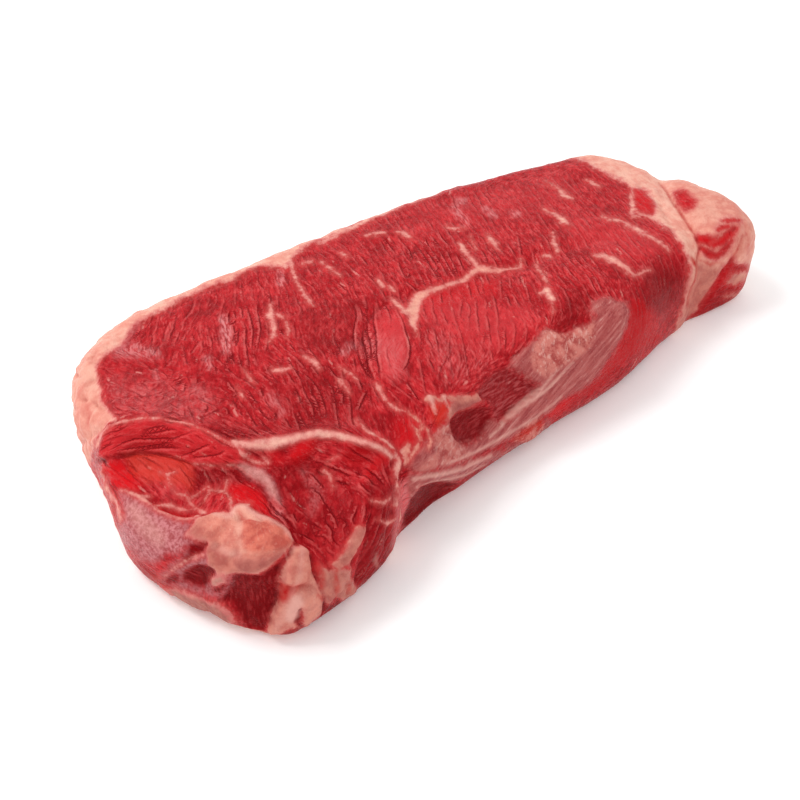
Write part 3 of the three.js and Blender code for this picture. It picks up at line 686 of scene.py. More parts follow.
# Fixed ways of the fine fibres, in plan and straight up, so many degrees apart.
GRAIN_TURN = 30
GRAIN_WAYS = tuple(
    (math.cos(math.radians(turn)), math.sin(math.radians(turn)), 0) for turn in range(0, 180, GRAIN_TURN)
) + ((0, 0, 1),)
# Ways of the grit and of the streaks in silver-skin, each from one pixel to another.
GRIT_WAY = ((300, 330), (316, 410))
SILVER_WAY = ((545, 400), (612, 318))

# The deepest creases of the lean, in the photo's pixels, in groups.
CREASES = {
    "cheek": (
        ((380, 380), (379, 372), (378, 363), (376, 354), (377, 345), (376, 338), (375, 330), (373, 321),
         (374, 301)),
        ((356, 354), (354, 345), (353, 336), (354, 324), (357, 316), (353, 304)),
        ((374, 380), (372, 374), (367, 363), (367, 354), (364, 344), (362, 336), (363, 328)),
        ((372, 361), (371, 352), (371, 344), (367, 332), (367, 324)),
        ((370, 377), (365, 369), (359, 358), (357, 347)),
        ((397, 310), (404, 322), (406, 332), (409, 340), (411, 347), (410, 356), (408, 364), (403, 372)),
        ((368, 390), (362, 402), (359, 410)), ((407, 382), (413, 390), (420, 402)),
    ),
    "near muscle": (
        ((420, 356), (422, 365), (424, 377), (425, 387), (428, 394)),
        ((451, 328), (450, 344), (450, 357), (452, 365), (452, 371)),
        ((453, 305), (456, 320), (461, 332), (464, 342), (466, 352), (467, 361), (469, 374), (472, 382)),
        ((450, 354), (443, 364), (440, 372), (440, 380)), ((486, 332), (484, 343)), ((492, 349), (494, 361)),
        ((501, 276), (502, 287), (503, 299)), ((520, 273), (521, 285)), ((511, 277), (512, 288)),
    ),
    "left": (
        ((258, 304), (258, 314), (261, 325), (261, 332), (259, 342), (258, 351)),
        ((247, 305), (250, 314), (253, 325), (254, 334), (252, 343), (253, 351)),
        ((243, 320), (247, 329), (246, 339), (247, 348), (248, 356), (250, 366)),
        ((234, 325), (235, 333), (233, 342)), ((239, 328), (238, 340), (236, 347)), ((269, 338), (267, 350)),
        ((237, 320), (230, 325)), ((289, 342), (296, 351)),
    ),
    "lower left": (
        ((301, 371), (311, 377), (318, 386), (322, 395), (326, 406), (327, 417)),
        ((324, 376), (332, 384), (335, 394), (337, 408), (339, 421), (341, 428)),
        ((342, 385), (350, 393), (352, 406), (352, 420), (357, 427)),
        ((308, 381), (313, 393), (317, 400), (320, 408), (322, 417)),
        ((303, 384), (306, 394), (312, 402), (315, 412), (314, 422)), ((296, 388), (300, 398), (301, 403)),
        ((299, 411), (304, 421), (308, 428)), ((294, 412), (299, 422), (301, 430)), ((286, 418), (292, 428)),
        ((275, 412), (277, 419)), ((248, 411), (254, 421), (258, 427)), ((257, 406), (263, 414), (271, 422)),
        ((249, 389), (253, 397), (258, 402)), ((261, 386), (264, 396)), ((228, 379), (234, 388), (239, 394)),
        ((328, 364), (334, 372), (340, 378)),
    ),
    "upper": (
        ((412, 241), (421, 250), (429, 262), (435, 273), (439, 279)),
        ((447, 248), (452, 259), (457, 269), (459, 278)), ((439, 249), (446, 259), (451, 269), (456, 277)),
        ((431, 248), (438, 257), (444, 267), (449, 277)), ((519, 236), (521, 246), (522, 256)),
        ((482, 250), (487, 258), (488, 264)), ((492, 257), (497, 263), (498, 267)),
        ((398, 259), (403, 272), (406, 278)), ((411, 273), (407, 278)), ((440, 266), (435, 272)),
        ((462, 254), (470, 262), (475, 267)), ((406, 281), (416, 289), (421, 295)), ((467, 239), (475, 249)),
    ),
    "hatch": (
        ((150, 350), (152, 338), (151, 331)), ((153, 355), (156, 350), (161, 342)),
        ((162, 341), (164, 331), (169, 321)), ((183, 320), (192, 309), (193, 300)),
        ((190, 353), (192, 350), (199, 341)), ((184, 345), (185, 355), (188, 365)),
        ((192, 387), (188, 377), (185, 371)), ((169, 384), (179, 392)), ((197, 397), (208, 402), (218, 407)),
        ((220, 407), (211, 413), (199, 417)), ((188, 405), (192, 412), (195, 422)), ((169, 402), (179, 408)),
        ((142, 408), (151, 417)), ((129, 405), (138, 411)), ((109, 403), (114, 398)),
        ((229, 379), (238, 392), (235, 397)), ((213, 355), (224, 364), (231, 371), (240, 378)),
        ((164, 369), (170, 360), (174, 351)),
    ),
    "lip": (
        ((102, 457), (114, 450), (125, 442), (138, 438), (153, 439), (165, 438), (175, 439), (187, 434),
         (199, 431)),
        ((108, 458), (122, 451), (136, 448), (148, 446), (163, 444), (175, 442)),
        ((138, 452), (153, 448), (168, 447), (182, 448)), ((142, 434), (157, 433), (172, 429), (179, 431)),
        ((180, 457), (194, 452), (206, 446), (212, 445)), ((194, 458), (206, 456), (219, 455), (227, 450)),
        ((144, 431), (158, 427), (169, 426)),
    ),
    "corner": (
        ((313, 487), (320, 490), (327, 503), (336, 516), (338, 527)), ((294, 511), (300, 520)),
        ((301, 530), (309, 533), (317, 539)), ((360, 482), (367, 490), (372, 492)),
        ((353, 554), (350, 566), (351, 578)),
        ((289, 544), (293, 547), (310, 558), (314, 573), (320, 585)),
    ),
}
# How strong each group is, and how deep a crease of full strength is, in mm.
CREASE_FORCE = {
    "cheek": 1.0, "near muscle": 0.55, "left": 0.85, "lower left": 0.85, "upper": 0.75, "hatch": 0.6,
    "lip": 0.8, "corner": 0.9,
}
CREASE_DEPTH = 0.3

# Wrinkles: step along one and how far its dent reaches, in mm, and the room between two, as a share of the
# grain's spacing.
WRINKLE_STEP = 0.7
WRINKLE_REACH = 4.5
WRINKLE_ROOM = 0.56
CREASE_STRENGTH = 0.9
# Strokes: the shortest and the longest, in rooms. Cross strokes and flecks leave more room than wrinkles do.
WRINKLE_LENGTH = (5, 18)
CROSS_LENGTH = (0.4, 1.0)
CROSS_ROOM = 2.2
CROSS_STRENGTH = 0.8
FLECK_LENGTH = (0.6, 2.2)
FLECK_ROOM = 2.8
FLECK_WIDTH = 0.75
# Where no stroke is drawn yet, the nearest counts as this many mm off. A room wider than that takes none.
NO_WRINKLE = 3.0
NO_STROKE = 20.0
NO_ROOM = 40.0

# Relief in mm. A wrinkle is a groove with a ridge on one side.
GROOVE_WIDTH = 0.8
GROOVE_DEPTH = 1.3
RIDGE_PLACE = 0.5
RIDGE_WIDTH = 0.45
RIDGE_HEIGHT = 0.5
FAT_RISE = 0.12
FAT_SWELL = 0.4
FAT_LUMPS = 0.2
TAIL_LUMPS = 0.25
TAIL_FOLDS = 0.4
HATCH_LUMPS = 0.3
CRINKLE = 0.9
HIDDEN_WAVES = 0.35
# Waves of noise: bumps per mm, height and seed. Heights are in mm on the skin and in pixels on painted edges.
SKIN_WAVES = ((0.09, 0.25, 32), (0.55, 0.08, 33), (0.28, 0.1, 34))
EDGE_WAVES = ((0.35, 2.6, 14), (0.9, 1.6, 15))
THREAD_WAVES = ((0.75, 0.9, 12), (1.6, 0.5, 13))
# How far below its surroundings a spot takes the full painted shade of a recess, in mm.
HOLLOW_SHADE_DEPTH = 0.5

# Room between the charts of the texture map, in mm.
CHART_GAP = 3.0

# Colours, as 8-bit sRGB.
COLOURS = {
    "lean dark": (142, 13, 20), "lean": (170, 26, 33), "lean light": (194, 44, 48),
    # Lean bright is lighter lean, and on the edge strip painted light.
    "lean bright": (206, 58, 62), "fibre light": (216, 84, 85), "fibre dark": (116, 5, 12),
    # Fleck is partly a painted wet glint, and pale is in places a painted highlight.
    "fleck": (222, 140, 132), "beside fat": (190, 78, 74), "pale": (222, 164, 152),
    # Wrinkle light is a painted highlight and wrinkle dark is painted shade; veil is a pale film and painted
    # sheen.
    "wrinkle light": (218, 104, 102), "wrinkle dark": (112, 6, 14), "veil": (212, 132, 132),
    # Deep is darker lean and painted shade, and lean hollow is painted shade in creases and recesses.
    "fresh": (202, 20, 26), "amber": (200, 58, 42), "deep": (114, 5, 10), "lean hollow": (84, 5, 10),
    "silver dark": (148, 60, 61), "silver": (181, 98, 94), "silver cloud": (172, 84, 80),
    # Silver streak is pale fibre with painted sheen.
    "silver streak": (222, 176, 166), "silver grit": (214, 160, 150), "crinkle dark": (166, 70, 66),
    # Crinkle light is painted highlights on the crinkles.
    "crinkle": (206, 122, 111), "crinkle light": (225, 170, 159), "lilac dark": (160, 74, 77),
    # Lilac dull is painted shade.
    "lilac": (196, 119, 122), "lilac dull": (128, 44, 46), "lilac grit": (214, 158, 154),
    "cream dark": (222, 146, 130), "cream": (233, 177, 158), "salmon dark": (176, 66, 56),
    # Fat grit is painted glints.
    "salmon": (208, 102, 84), "fat grit": (246, 212, 194), "fat shade": (206, 112, 98),
    # Fat dull is painted shade, in places a greyer film, and fat hollow is painted shade in creases and
    # recesses.
    "fat dull": (146, 70, 68), "fat edge": (204, 108, 106), "fat hollow": (150, 44, 40),
    "stain": (182, 28, 28),
}
# Noises of the material: bumps per mm, detail and roughness.
GRIT = (2.2, 2.0, 0.6)
MOTTLE = (0.9, 3.0, 0.6)
BLOTCH = (0.11, 4.0, 0.6)
LUMPS = (0.4, 3.0, 0.6)
FIBRES = (1.8, 2.0, 0.55)
STREAKS = (1.2, 4.0, 0.65)
NET = (1.1, 3.0, 0.65)
# What is left of a noise's bumps along the way that it is drawn out.
GRIT_DRAWN = 0.35
FIBRES_DRAWN = 0.18
STREAKS_DRAWN = 0.07
# Finish: the bump's strength and height, and the sheen of wet meat.
BUMP = 0.8
BUMP_HEIGHT = 0.4 * MM
REFRACTION = 1.4
SPECULAR = 0.05

# Studio, in metres and watts.
FLOOR_SIDE = 6.0
FLOOR_GREY = 0.94
FLOOR_GLOW = 0.11
FLOOR_ROUGH = 0.9
LAMP_PLACE = (-0.35, 0.4, 0.8)
LAMP_SIDE = 0.4
LAMP_POWER = 4.0
SURROUNDINGS = 0.93


# Noise.
def lattice(corner, seed):
    """A number from -1 to 1 for each lattice corner, always the same for the same seed."""
    mixed = corner[..., 0] * 374761393 + corner[..., 1] * 668265263 + corner[..., 2] * 1274126177
    mixed = (mixed + seed * 974634541) & 0xFFFFFFFF
    mixed = ((mixed ^ (mixed >> 13)) * 1103515245) & 0xFFFFFFFF
    mixed = ((mixed ^ (mixed >> 15)) * 668265263) & 0xFFFFFFFF
    return ((mixed ^ (mixed >> 16)) & 0xFFFF) / 32767.5 - 1


def noise(points, seed=0):
    """Smooth gradient noise at points, about -1 to 1, with one bump or dip for each unit."""
    cell = np.floor(points).astype(np.int64)
    part = points - cell
    fade = part * part * part * (part * (part * 6 - 15) + 10)
    total = np.zeros(len(points))
    for step in np.ndindex(2, 2, 2):
        step = np.array(step)
        weight = np.prod(np.where(step, fade, 1 - fade), axis=1)
        reach = part - step
        for axis in range(3):
            total += weight * reach[:, axis] * lattice(cell + step, seed * 3 + axis)
    return total * 1.6


def layered(points, seed, layers=3):
    """Noise with finer, weaker noise added."""
    return sum(noise(points * 2.03**k, seed + k) * 0.5**k for k in range(layers))


def waves(table):
    """The sum of a table's waves of noise, at each vertex."""
    return sum(rise * noise(at * bumps, seed) for bumps, rise, seed in table)


def smoothstep(low, high, value):
    share = np.clip((value - low) / (high - low), 0, 1)
    return share * share * (3 - 2 * share)


# Skin mesh.
def skin_object(node):
    """An even, smooth mesh over a CAD node, thinned where the photo doesn't look."""
    mesh = node.data.copy()
    mesh.materials.clear()
    skin = bpy.data.objects.new("steak_skin", mesh)
    bpy.context.scene.collection.objects.link(skin)
    weld = skin.modifiers.new("weld", "WELD")
    weld.merge_threshold = WELD
    remesh = skin.modifiers.new("remesh", "REMESH")
    remesh.mode = "VOXEL"
    remesh.voxel_size = VOXEL
    skin.modifiers.new("triangles", "TRIANGULATE")
    smooth = skin.modifiers.new("smooth", "SMOOTH")
    smooth.factor = 0.5
    smooth.iterations = SMOOTH_STEPS
    bake_modifiers(skin)
    spots = read(skin.data.vertices, "co", 3)
    normals = read(skin.data.vertices, "normal", 3)
    unseen = ((np.array(EYE) - spots) * normals).sum(1) < 0
    spots += normals * (unseen * UNSEEN_ROUGH * noise(spots / MM * UNSEEN_BUMPS, 41))[:, None]
    skin.data.vertices.foreach_set("co", spots.ravel())
    group = skin.vertex_groups.new(name="unseen")
    group.add([int(index) for index in np.flatnonzero(unseen)], UNSEEN_WEIGHT, "REPLACE")
    thin = skin.modifiers.new("thin", "DECIMATE")
    thin.ratio = min(1, TRIANGLES / len(skin.data.polygons))
    thin.vertex_group = "unseen"
    thin.vertex_group_factor = UNSEEN_FORCE
    bake_modifiers(skin)
    skin.vertex_groups.clear()
    return skin


def bake_modifiers(obj):
    graph = bpy.context.evaluated_depsgraph_get()
    mesh = bpy.data.meshes.new_from_object(obj.evaluated_get(graph))
    obj.modifiers.clear()
    old = obj.data
    obj.data = mesh
    bpy.data.meshes.remove(old)


def read(data, name, width, kind=np.float64):
    values = np.empty(len(data) * width, kind)
    data.foreach_get(name, values)
    return values.reshape(-1, width) if width > 1 else values


def averaged(values, steps):
    """Values per vertex, evened out along the edges."""
    count = np.bincount(edges.ravel(), minlength=len(values)).clip(1)
    for _ in range(steps):
        total = np.bincount(edges[:, 0], values[edges[:, 1]], len(values))
        total += np.bincount(edges[:, 1], values[edges[:, 0]], len(values))
        values = 0.5 * values + 0.5 * total / count
    return values


# The photo's camera.
def project(points):
    """Pixels of points that are in metres."""
    away = points - np.array(EYE)
    depth = away @ np.array(-BACK)
    return np.stack([
        IMAGE / 2 + FOCAL * (away @ np.array(RIGHT)) / depth,
        IMAGE / 2 - FOCAL * (away @ np.array(UP)) / depth,
    ], axis=1)


def ray(pixel):
    way = -BACK * FOCAL + RIGHT * (pixel[0] - IMAGE / 2) - UP * (pixel[1] - IMAGE / 2)
    return way.normalized()


def pixel_way(pair):
    """Way along the skin from one pixel to another."""
    start, end = [tree.ray_cast(EYE, ray(pixel))[0] for pixel in pair]
    return (end - start).normalized()


def seen_by_camera():
    """1 for a vertex that the camera sees, 0 for a hidden one, evened out at the border."""
    seen = np.zeros(len(base))
    facing = np.flatnonzero(((np.array(EYE) - base) * normal).sum(1) > 0)
    for index in facing:
        goal = Vector(base[index])
        hit = tree.ray_cast(EYE, goal - EYE)[0]
        seen[index] = hit is not None and (hit - goal).length < SIGHT
    return averaged(seen, 3)


skin = skin_object(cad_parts["steak"])
mesh = skin.data
base = read(mesh.vertices, "co", 3)
normal = read(mesh.vertices, "normal", 3)
edges = read(mesh.edges, "vertices", 2, np.int32)
tree = BVHTree.FromPolygons([tuple(p) for p in base], [tuple(p.vertices) for p in mesh.polygons])
at = base / MM
seen = seen_by_camera()
under = smoothstep(-0.6, -0.9, normal[:, 2])

# Where the photo doesn't look, the cap and both ends are fat, and the underside repeats the cut face.
mirrored = base * [1, 1, 0] + [0, 0, THICKNESS * MM]
sway = np.stack([noise(at * 0.12, 40 + k) for k in range(3)], 1)
SPOTS = {"shown": project(base), "below": project(mirrored + SWAY * sway)}
hidden_fat = HIDDEN_FAT + HIDDEN_FAT_SWING * layered(at * HIDDEN_FAT_BUMPS, 11)
ragged = waves(EDGE_WAVES)


# Paint through the camera.
def along(spots, start, end):
    """Distance of spots from a segment, and how far along it they lie."""
    way = np.array(end[:2], float) - start[:2]
    share = np.clip((spots - start[:2]) @ way / (way @ way), 0, 1)
    return np.linalg.norm(spots - start[:2] - share[:, None] * way, axis=1), share


def stroke_depth(spots, stroke):
    depth = np.full(len(spots), FAR_OFF)
    for start, end in zip(stroke, stroke[1:]):
        away, share = along(spots, start, end)
        depth = np.maximum(depth, start[2] + (end[2] - start[2]) * share - away)
    return depth


def outline_depth(spots, outline):
    inside = np.zeros(len(spots), bool)
    away = np.full(len(spots), -FAR_OFF)
    for start, end in zip(outline, outline[1:] + outline[:1]):
        away = np.minimum(away, along(spots, start, end)[0])
        if start[1] != end[1]:
            crossing = start[0] + (spots[:, 1] - start[1]) * (end[0] - start[0]) / (end[1] - start[1])
            inside ^= ((spots[:, 1] < start[1]) != (spots[:, 1] < end[1])) & (spots[:, 0] < crossing)
    return np.where(inside, away, -away)


@lru_cache(maxsize=None)
def depth_in(name, where):
    """How many pixels deep the vertices lie in a shape, negative outside."""
    shape = SHAPES[name]
    spots = SPOTS[where]
    corners = np.array(shape, float)[:, :2]
    close = ((spots > corners.min(0) + FAR_OFF) & (spots < corners.max(0) - FAR_OFF)).all(1)
    depth = np.full(len(spots), FAR_OFF)
    measure = stroke_depth if len(shape[0]) == 3 else outline_depth
    depth[close] = measure(spots[close], shape)
    return depth


def deepest(names, where):
    return np.maximum.reduce([depth_in(name, where) for name in names])


def tint(table, where):
    """Weight from 0 to 1 of feathered shapes."""
    return np.maximum.reduce([
        strength * smoothstep(-feather, feather, depth_in(name, where) + ragged * min(feather, 6) / 8)
        for name, (strength, feather) in table.items()
    ])


def painted(paint, hidden):
    """A layer of paint: as the photo shows it, as the cut face repeats below, or as given elsewhere."""
    unseen = hidden * (1 - under) + paint("below") * under
    return paint("shown") * seen + unseen * (1 - seen)


def fat_depth(where):
    thread = deepest(MARBLING, where) + waves(THREAD_WAVES)
    body = np.minimum(deepest(FAT_OUTLINES, where) + 0.4 * ragged, -deepest(ISLANDS, where))
    return np.maximum(thread, body)


fat = painted(fat_depth, hidden_fat)
silver = painted(lambda where: deepest(SILVER_OUTLINES, where) + ragged, FAR_OFF)
lilac = painted(
    lambda where: np.minimum(deepest(LILAC_OUTLINES, where), -2 * deepest(PATCHES, where)) + ragged, FAR_OFF,
)
tints = {
    name: painted(lambda where, table=table: tint(table, where), hidden)
    for name, (table, hidden) in TINTS.items()
}
pressed = seen * sum(
    height * smoothstep(-feather, feather, depth_in(name, "shown"))
    for name, (height, feather) in RELIEF.items()
)
fat_share = smoothstep(-1.5, 1.5, fat)
lean = (1 - fat_share) * smoothstep(1, -1, silver) * smoothstep(1, -1, lilac) * (1 - under)


# Grain.
def grain_guides():
    """Place, way, spacing and depth of each guide, in mm."""
    for column, row, goal_column, goal_row, spacing, depth in GRAIN:
        place, out, _, _ = tree.ray_cast(EYE, ray((column, row)))
        goal = tree.ray_cast(EYE, ray((goal_column, goal_row)))[0]
        yield place, out, goal - place, spacing, depth
    for point, way, spacing, depth in HIDDEN_GRAIN:
        place, out, _, _ = tree.find_nearest(Vector(point) * MM)
        yield place, out, Vector(way), spacing, depth


def grain_field():
    """Way of the grain along the surface, room between wrinkles and their depth, at each vertex."""
    spot = np.where(under[:, None] > 0.5, mirrored, base) / MM
    total = np.zeros(len(at))
    tensor = np.zeros((len(at), 3, 3))
    room = np.zeros(len(at))
    depth = np.zeros(len(at))
    for place, out, run, spacing, deep in grain_guides():
        share = 1 / (((spot - np.array(place) / MM) ** 2).sum(1) + 4) ** 2
        level = np.array((run - out * run.dot(out)).normalized())
        total += share
        tensor += share[:, None, None] * np.outer(level, level)
        room += share * spacing
        depth += share * deep
    flat = np.eye(3) - normal[:, :, None] * normal[:, None, :]
    way = np.linalg.eigh(flat @ tensor @ flat)[1][:, :, 2]
    waver = (GRAIN_WAVER + HATCH_WAVER * tints["hatch"]) * noise(at * 0.5, 21)
    turn = (GRAIN_BEND * noise(at * 0.15, 20) + waver)[:, None]
    way = way * np.cos(turn) + np.cross(normal, way) * np.sin(turn)
    return way, WRINKLE_ROOM * room / total, depth / total


# Wrinkles are strokes along the surface that keep clear of each other.
def trace(start, way, room, reach, crowd):
    """Points both ways from a vertex, ended by another stroke or by the end of the lean."""
    halves = []
    for sign in (1, -1):
        vertex = start
        spot = at[start]
        heading = sign * way[start]
        points = []
        for _ in range(int(reach / 2 / WRINKLE_STEP)):
            heading = way[vertex] if way[vertex] @ heading > 0 else -way[vertex]
            spot = spot + WRINKLE_STEP * heading
            vertex = vertices.find(spot)[1]
            spot = spot - normal[vertex] * ((spot - at[vertex]) @ normal[vertex])
            if crowd[vertex] < 0.5 * room[vertex] or lean[vertex] < 0.3:
                break
            points.append(spot)
        halves.append(points)
    return np.array(halves[1][::-1] + [at[start]] + halves[0])


def beside(line):
    """Vertices near a stroke, their distance from it, which side they are on, and its taper there."""
    low = line.min(0) - WRINKLE_REACH
    high = line.max(0) + WRINKLE_REACH
    first, last = np.searchsorted(at[by_column, 0], (low[0], high[0]))
    part = by_column[first:last]
    part = part[((at[part] > low) & (at[part] < high)).all(1)]
    run = np.diff(line, axis=0)
    away = at[part][:, None] - line[:-1]
    share = np.clip((away * run).sum(2) / (run * run).sum(1), 0, 1)
    away = away - share[..., None] * run
    distance = np.linalg.norm(away, axis=2)
    best = distance.argmin(1)
    row = np.arange(len(part))
    side = np.sign((np.cross(run[best], normal[part]) * away[row, best]).sum(1))
    taper = np.sin(np.pi * (best + share[row, best]) / len(run)).clip(0) ** 0.5
    return part, distance[row, best], side, taper


def creases():
    """The creases that the photo shows, with their corners cut twice."""
    for group, strokes in CREASES.items():
        for stroke in strokes:
            line = np.array([tree.ray_cast(EYE, ray(pixel))[0] for pixel in stroke]) / MM
            for _ in range(2):
                cut = np.stack([0.75 * line[:-1] + 0.25 * line[1:], 0.25 * line[:-1] + 0.75 * line[1:]], 1)
                line = np.concatenate([line[:1], cut.reshape(-1, 3), line[-1:]])
            part, distance, side, taper = beside(line)
            yield part, distance, side, taper * CREASE_FORCE[group]


def scattered(way, room, reach, seed, crowd):
    """Strokes over the lean, from reach[0] to reach[1] rooms long, none nearer to another than its room."""
    chance = np.random.default_rng(seed)
    for start in chance.permutation(len(at)):
        if crowd[start] < room[start] or lean[start] < 0.5:
            continue
        line = trace(start, way, room, room[start] * chance.uniform(*reach), crowd)
        if len(line) > 2:
            part, distance, side, taper = beside(line)
            crowd[part] = np.minimum(crowd[part], distance)
            yield part, distance, side, taper * chance.uniform(0.4, 1)


def grain_share(way, fixed):
    """How near a way is to a fixed one, from 0 to 1."""
    turn = np.degrees(np.arccos(np.clip(np.abs(way @ np.array(fixed)), 0, 1)))
    return np.clip(1 - turn / GRAIN_TURN, 0, 1) + 1e-4


by_column = np.argsort(at[:, 0])
vertices = KDTree(len(at))
for index, spot in enumerate(at):
    vertices.insert(spot, index)
vertices.balance()

way, room, wrinkle_depth = grain_field()
shares = [grain_share(way, fixed) for fixed in GRAIN_WAYS]
even = HATCH_EVEN * tints["hatch"]
grain_shares = {
    f"grain{k}": (1 - even) * share / sum(shares) + even / len(shares) for k, share in enumerate(shares)
}
wrinkle_gap = np.full(len(at), NO_WRINKLE)
wrinkle_side = np.zeros(len(at))
wrinkle_force = np.zeros(len(at))
fleck = np.zeros(len(at))


def wrinkle(strokes, strength):
    for part, distance, side, force in strokes:
        nearer = distance < wrinkle_gap[part]
        part = part[nearer]
        wrinkle_gap[part] = distance[nearer]
        wrinkle_side[part] = (side * distance)[nearer]
        wrinkle_force[part] = np.broadcast_to(strength, len(at))[part] * force[nearer]


empty = np.full(len(at), NO_STROKE)
cross_way = np.cross(normal, way)
cross_room = np.where(tints["hatch"] > 0.2, room * CROSS_ROOM, NO_ROOM)
patchy = 0.4 + 0.6 * smoothstep(-0.5, 0.35, noise(at * 0.14, 24))
patchy *= smoothstep(0.05, 0.4, wrinkle_depth)
wrinkle(creases(), CREASE_STRENGTH)
wrinkle_depth = np.maximum(wrinkle_depth, CREASE_DEPTH * wrinkle_force)
wrinkle(scattered(way, room, WRINKLE_LENGTH, 5, wrinkle_gap.copy()), patchy)
cross_strokes = scattered(cross_way, cross_room, CROSS_LENGTH, 6, empty.copy())
wrinkle(cross_strokes, CROSS_STRENGTH * patchy * tints["hatch"])
# Flecks: pale dashes along the grain, partly thin fat streaks and partly painted wet glints.
for part, distance, _, force in scattered(way, room * FLECK_ROOM, FLECK_LENGTH, 7, empty.copy()):
    fleck[part] = np.maximum(fleck[part], force * (1 - distance / FLECK_WIDTH))
fleck *= smoothstep(-0.35, 0.35, noise(at * 0.1, 25))

# Relief along the normals, none where the steak lies on the table.
wrinkle_force *= lean
groove = 1 - smoothstep(0, GROOVE_WIDTH, wrinkle_gap)
ridge = np.sign(wrinkle_side) * np.exp(-((wrinkle_gap - RIDGE_PLACE) / RIDGE_WIDTH) ** 2)
height = wrinkle_depth * wrinkle_force * (RIDGE_HEIGHT * ridge - GROOVE_DEPTH * groove)
folds = 1 - smoothstep(0, 0.22, np.abs(noise(at * [0.1, 0.16, 0.16], 37)))
tail = smoothstep(-40, -75, at[:, 0])
lumps = (FAT_LUMPS + TAIL_LUMPS * tail) * layered(at * 0.28, 31, 3)
height += fat_share * (FAT_RISE + lumps + FAT_SWELL * noise(at * 0.14, 36))
height -= fat_share * tail * TAIL_FOLDS * folds
height += lean * tints["hatch"] * HATCH_LUMPS * layered(at * 0.6, 38, 2)
height += waves(SKIN_WAVES)
height += tints["amber"] * smoothstep(0, 2, silver) * CRINKLE * layered(at * 0.35, 35, 3)
height += (1 - seen) * HIDDEN_WAVES * noise(at * [0.03, 0.14, 0.14], 39)
height += pressed
height = averaged(height, 1) * smoothstep(0.4, 3.0, at[:, 2])
# Painted shade in creases and recesses: how far each vertex lies below its evened-out surroundings.
hollow_shade = np.clip((averaged(height, 8) - height) / HOLLOW_SHADE_DEPTH, 0, 1)
raised = base + normal * height[:, None] * MM
raised[:, 2] = np.maximum(raised[:, 2], 0)
mesh.vertices.foreach_set("co", raised.ravel())
mesh.shade_smooth()
mesh.update()


def box_map():
    """A texture map of six charts, one above the other: the six sides of the skin, each seen straight on."""
    vertex = read(mesh.loops, "vertex_index", 1, np.int32).reshape(-1, 3)
    out = normal[vertex].mean(1)
    facing = np.abs(out).argmax(1)
    ahead = out[np.arange(len(out)), facing] > 0
    spots = (raised - raised.min(0)) / MM
    size = spots.max(0)
    places = np.zeros((len(vertex), 3, 2))
    row = CHART_GAP
    for axis, across, up in ((2, 0, 1), (1, 0, 2), (0, 1, 2)):
        for front in (False, True):
            part = (facing == axis) & (ahead == front)
            places[part] = spots[vertex[part]][:, :, (across, up)] + [CHART_GAP, row]
            row += size[up] + CHART_GAP
    places /= [size[0] + 2 * CHART_GAP, row]
    mesh.uv_layers.new(name="OFBake").data.foreach_set("uv", places.ravel())


box_map()


def store(name, values):
    layer = mesh.attributes.new(name, "FLOAT", "POINT")
    layer.data.foreach_set("value", np.ascontiguousarray(values, np.float32))


for name, values in {
    **tints, **grain_shares, "fat": fat, "silver": silver, "lilac": lilac, "hollow_shade": hollow_shade, "fleck": fleck,
    "wrinkle_gap": wrinkle_gap, "wrinkle_side": wrinkle_side, "wrinkle": wrinkle_force,
}.items():
    store(name, values)


# Material.
def linear(red, green, blue):
    """Linear colour of an 8-bit sRGB one."""
    def one(level):
        level /= 255
        return level / 12.92 if level <= 0.04045 else ((level + 0.055) / 1.055) ** 2.4
    return (one(red), one(green), one(blue), 1)


class Nodes:
    """Short calls for shader nodes. A value is a number, the name of a colour or another node's output."""

    def __init__(self, material):
        self.tree = material.node_tree
        self.tree.nodes.clear()

    def add(self, kind, values=(), **settings):
        node = self.tree.nodes.new(kind)
        for name, value in settings.items():
            setattr(node, name, value)
        for name, value in dict(values).items():
            if isinstance(value, bpy.types.NodeSocket):
                self.tree.links.new(value, node.inputs[name])
            elif isinstance(value, str):
                node.inputs[name].default_value = linear(*COLOURS[value])
            else:
                node.inputs[name].default_value = value
        return node

    def field(self, name):
        return self.add("ShaderNodeAttribute", attribute_name=name).outputs["Fac"]

    def math(self, operation, *values):
        return self.add("ShaderNodeMath", enumerate(values), operation=operation).outputs[0]

    def times(self, product, *factors):
        for factor in factors:
            product = self.math("MULTIPLY", product, factor)
        return product

    def plus(self, first, second):
        return self.math("ADD", first, second)

    def vector(self, operation, output, *values):
        return self.add("ShaderNodeVectorMath", enumerate(values), operation=operation).outputs[output]

    def noise(self, vector, scale, detail, roughness):
        values = {"Vector": vector, "Scale": scale, "Detail": detail, "Roughness": roughness}
        return self.add("ShaderNodeTexNoise", values).outputs["Fac"]

    def drawn_out(self, vector, way, share):
        """A vector with the given share of its part along a way left."""
        run = self.times(self.vector("DOT_PRODUCT", "Value", vector, way), share - 1)
        node = self.add("ShaderNodeVectorMath", {0: way, "Scale": run}, operation="SCALE")
        return self.vector("ADD", "Vector", vector, node.outputs[0])

    def step(self, value, low, high, to_low=0.0, to_high=1.0):
        """Smooth step of a value from low to high, as a number from to_low to to_high."""
        values = {"Value": value, "From Min": low, "From Max": high, "To Min": to_low, "To Max": to_high}
        return self.add("ShaderNodeMapRange", values, interpolation_type="SMOOTHSTEP").outputs[0]

    def mix(self, share, first, second):
        node = self.add("ShaderNodeMix", {0: share, 6: first, 7: second}, data_type="RGBA")
        return node.outputs[2]


def fibres(n, place):
    """Noise drawn out along the grain: a blend of noises that are each drawn out along a fixed way."""
    total = 0.0
    for k, way in enumerate(GRAIN_WAYS):
        streak = n.noise(n.drawn_out(place, way, FIBRES_DRAWN), *FIBRES)
        total = n.math("MULTIPLY_ADD", streak, n.field(f"grain{k}"), total)
    return total


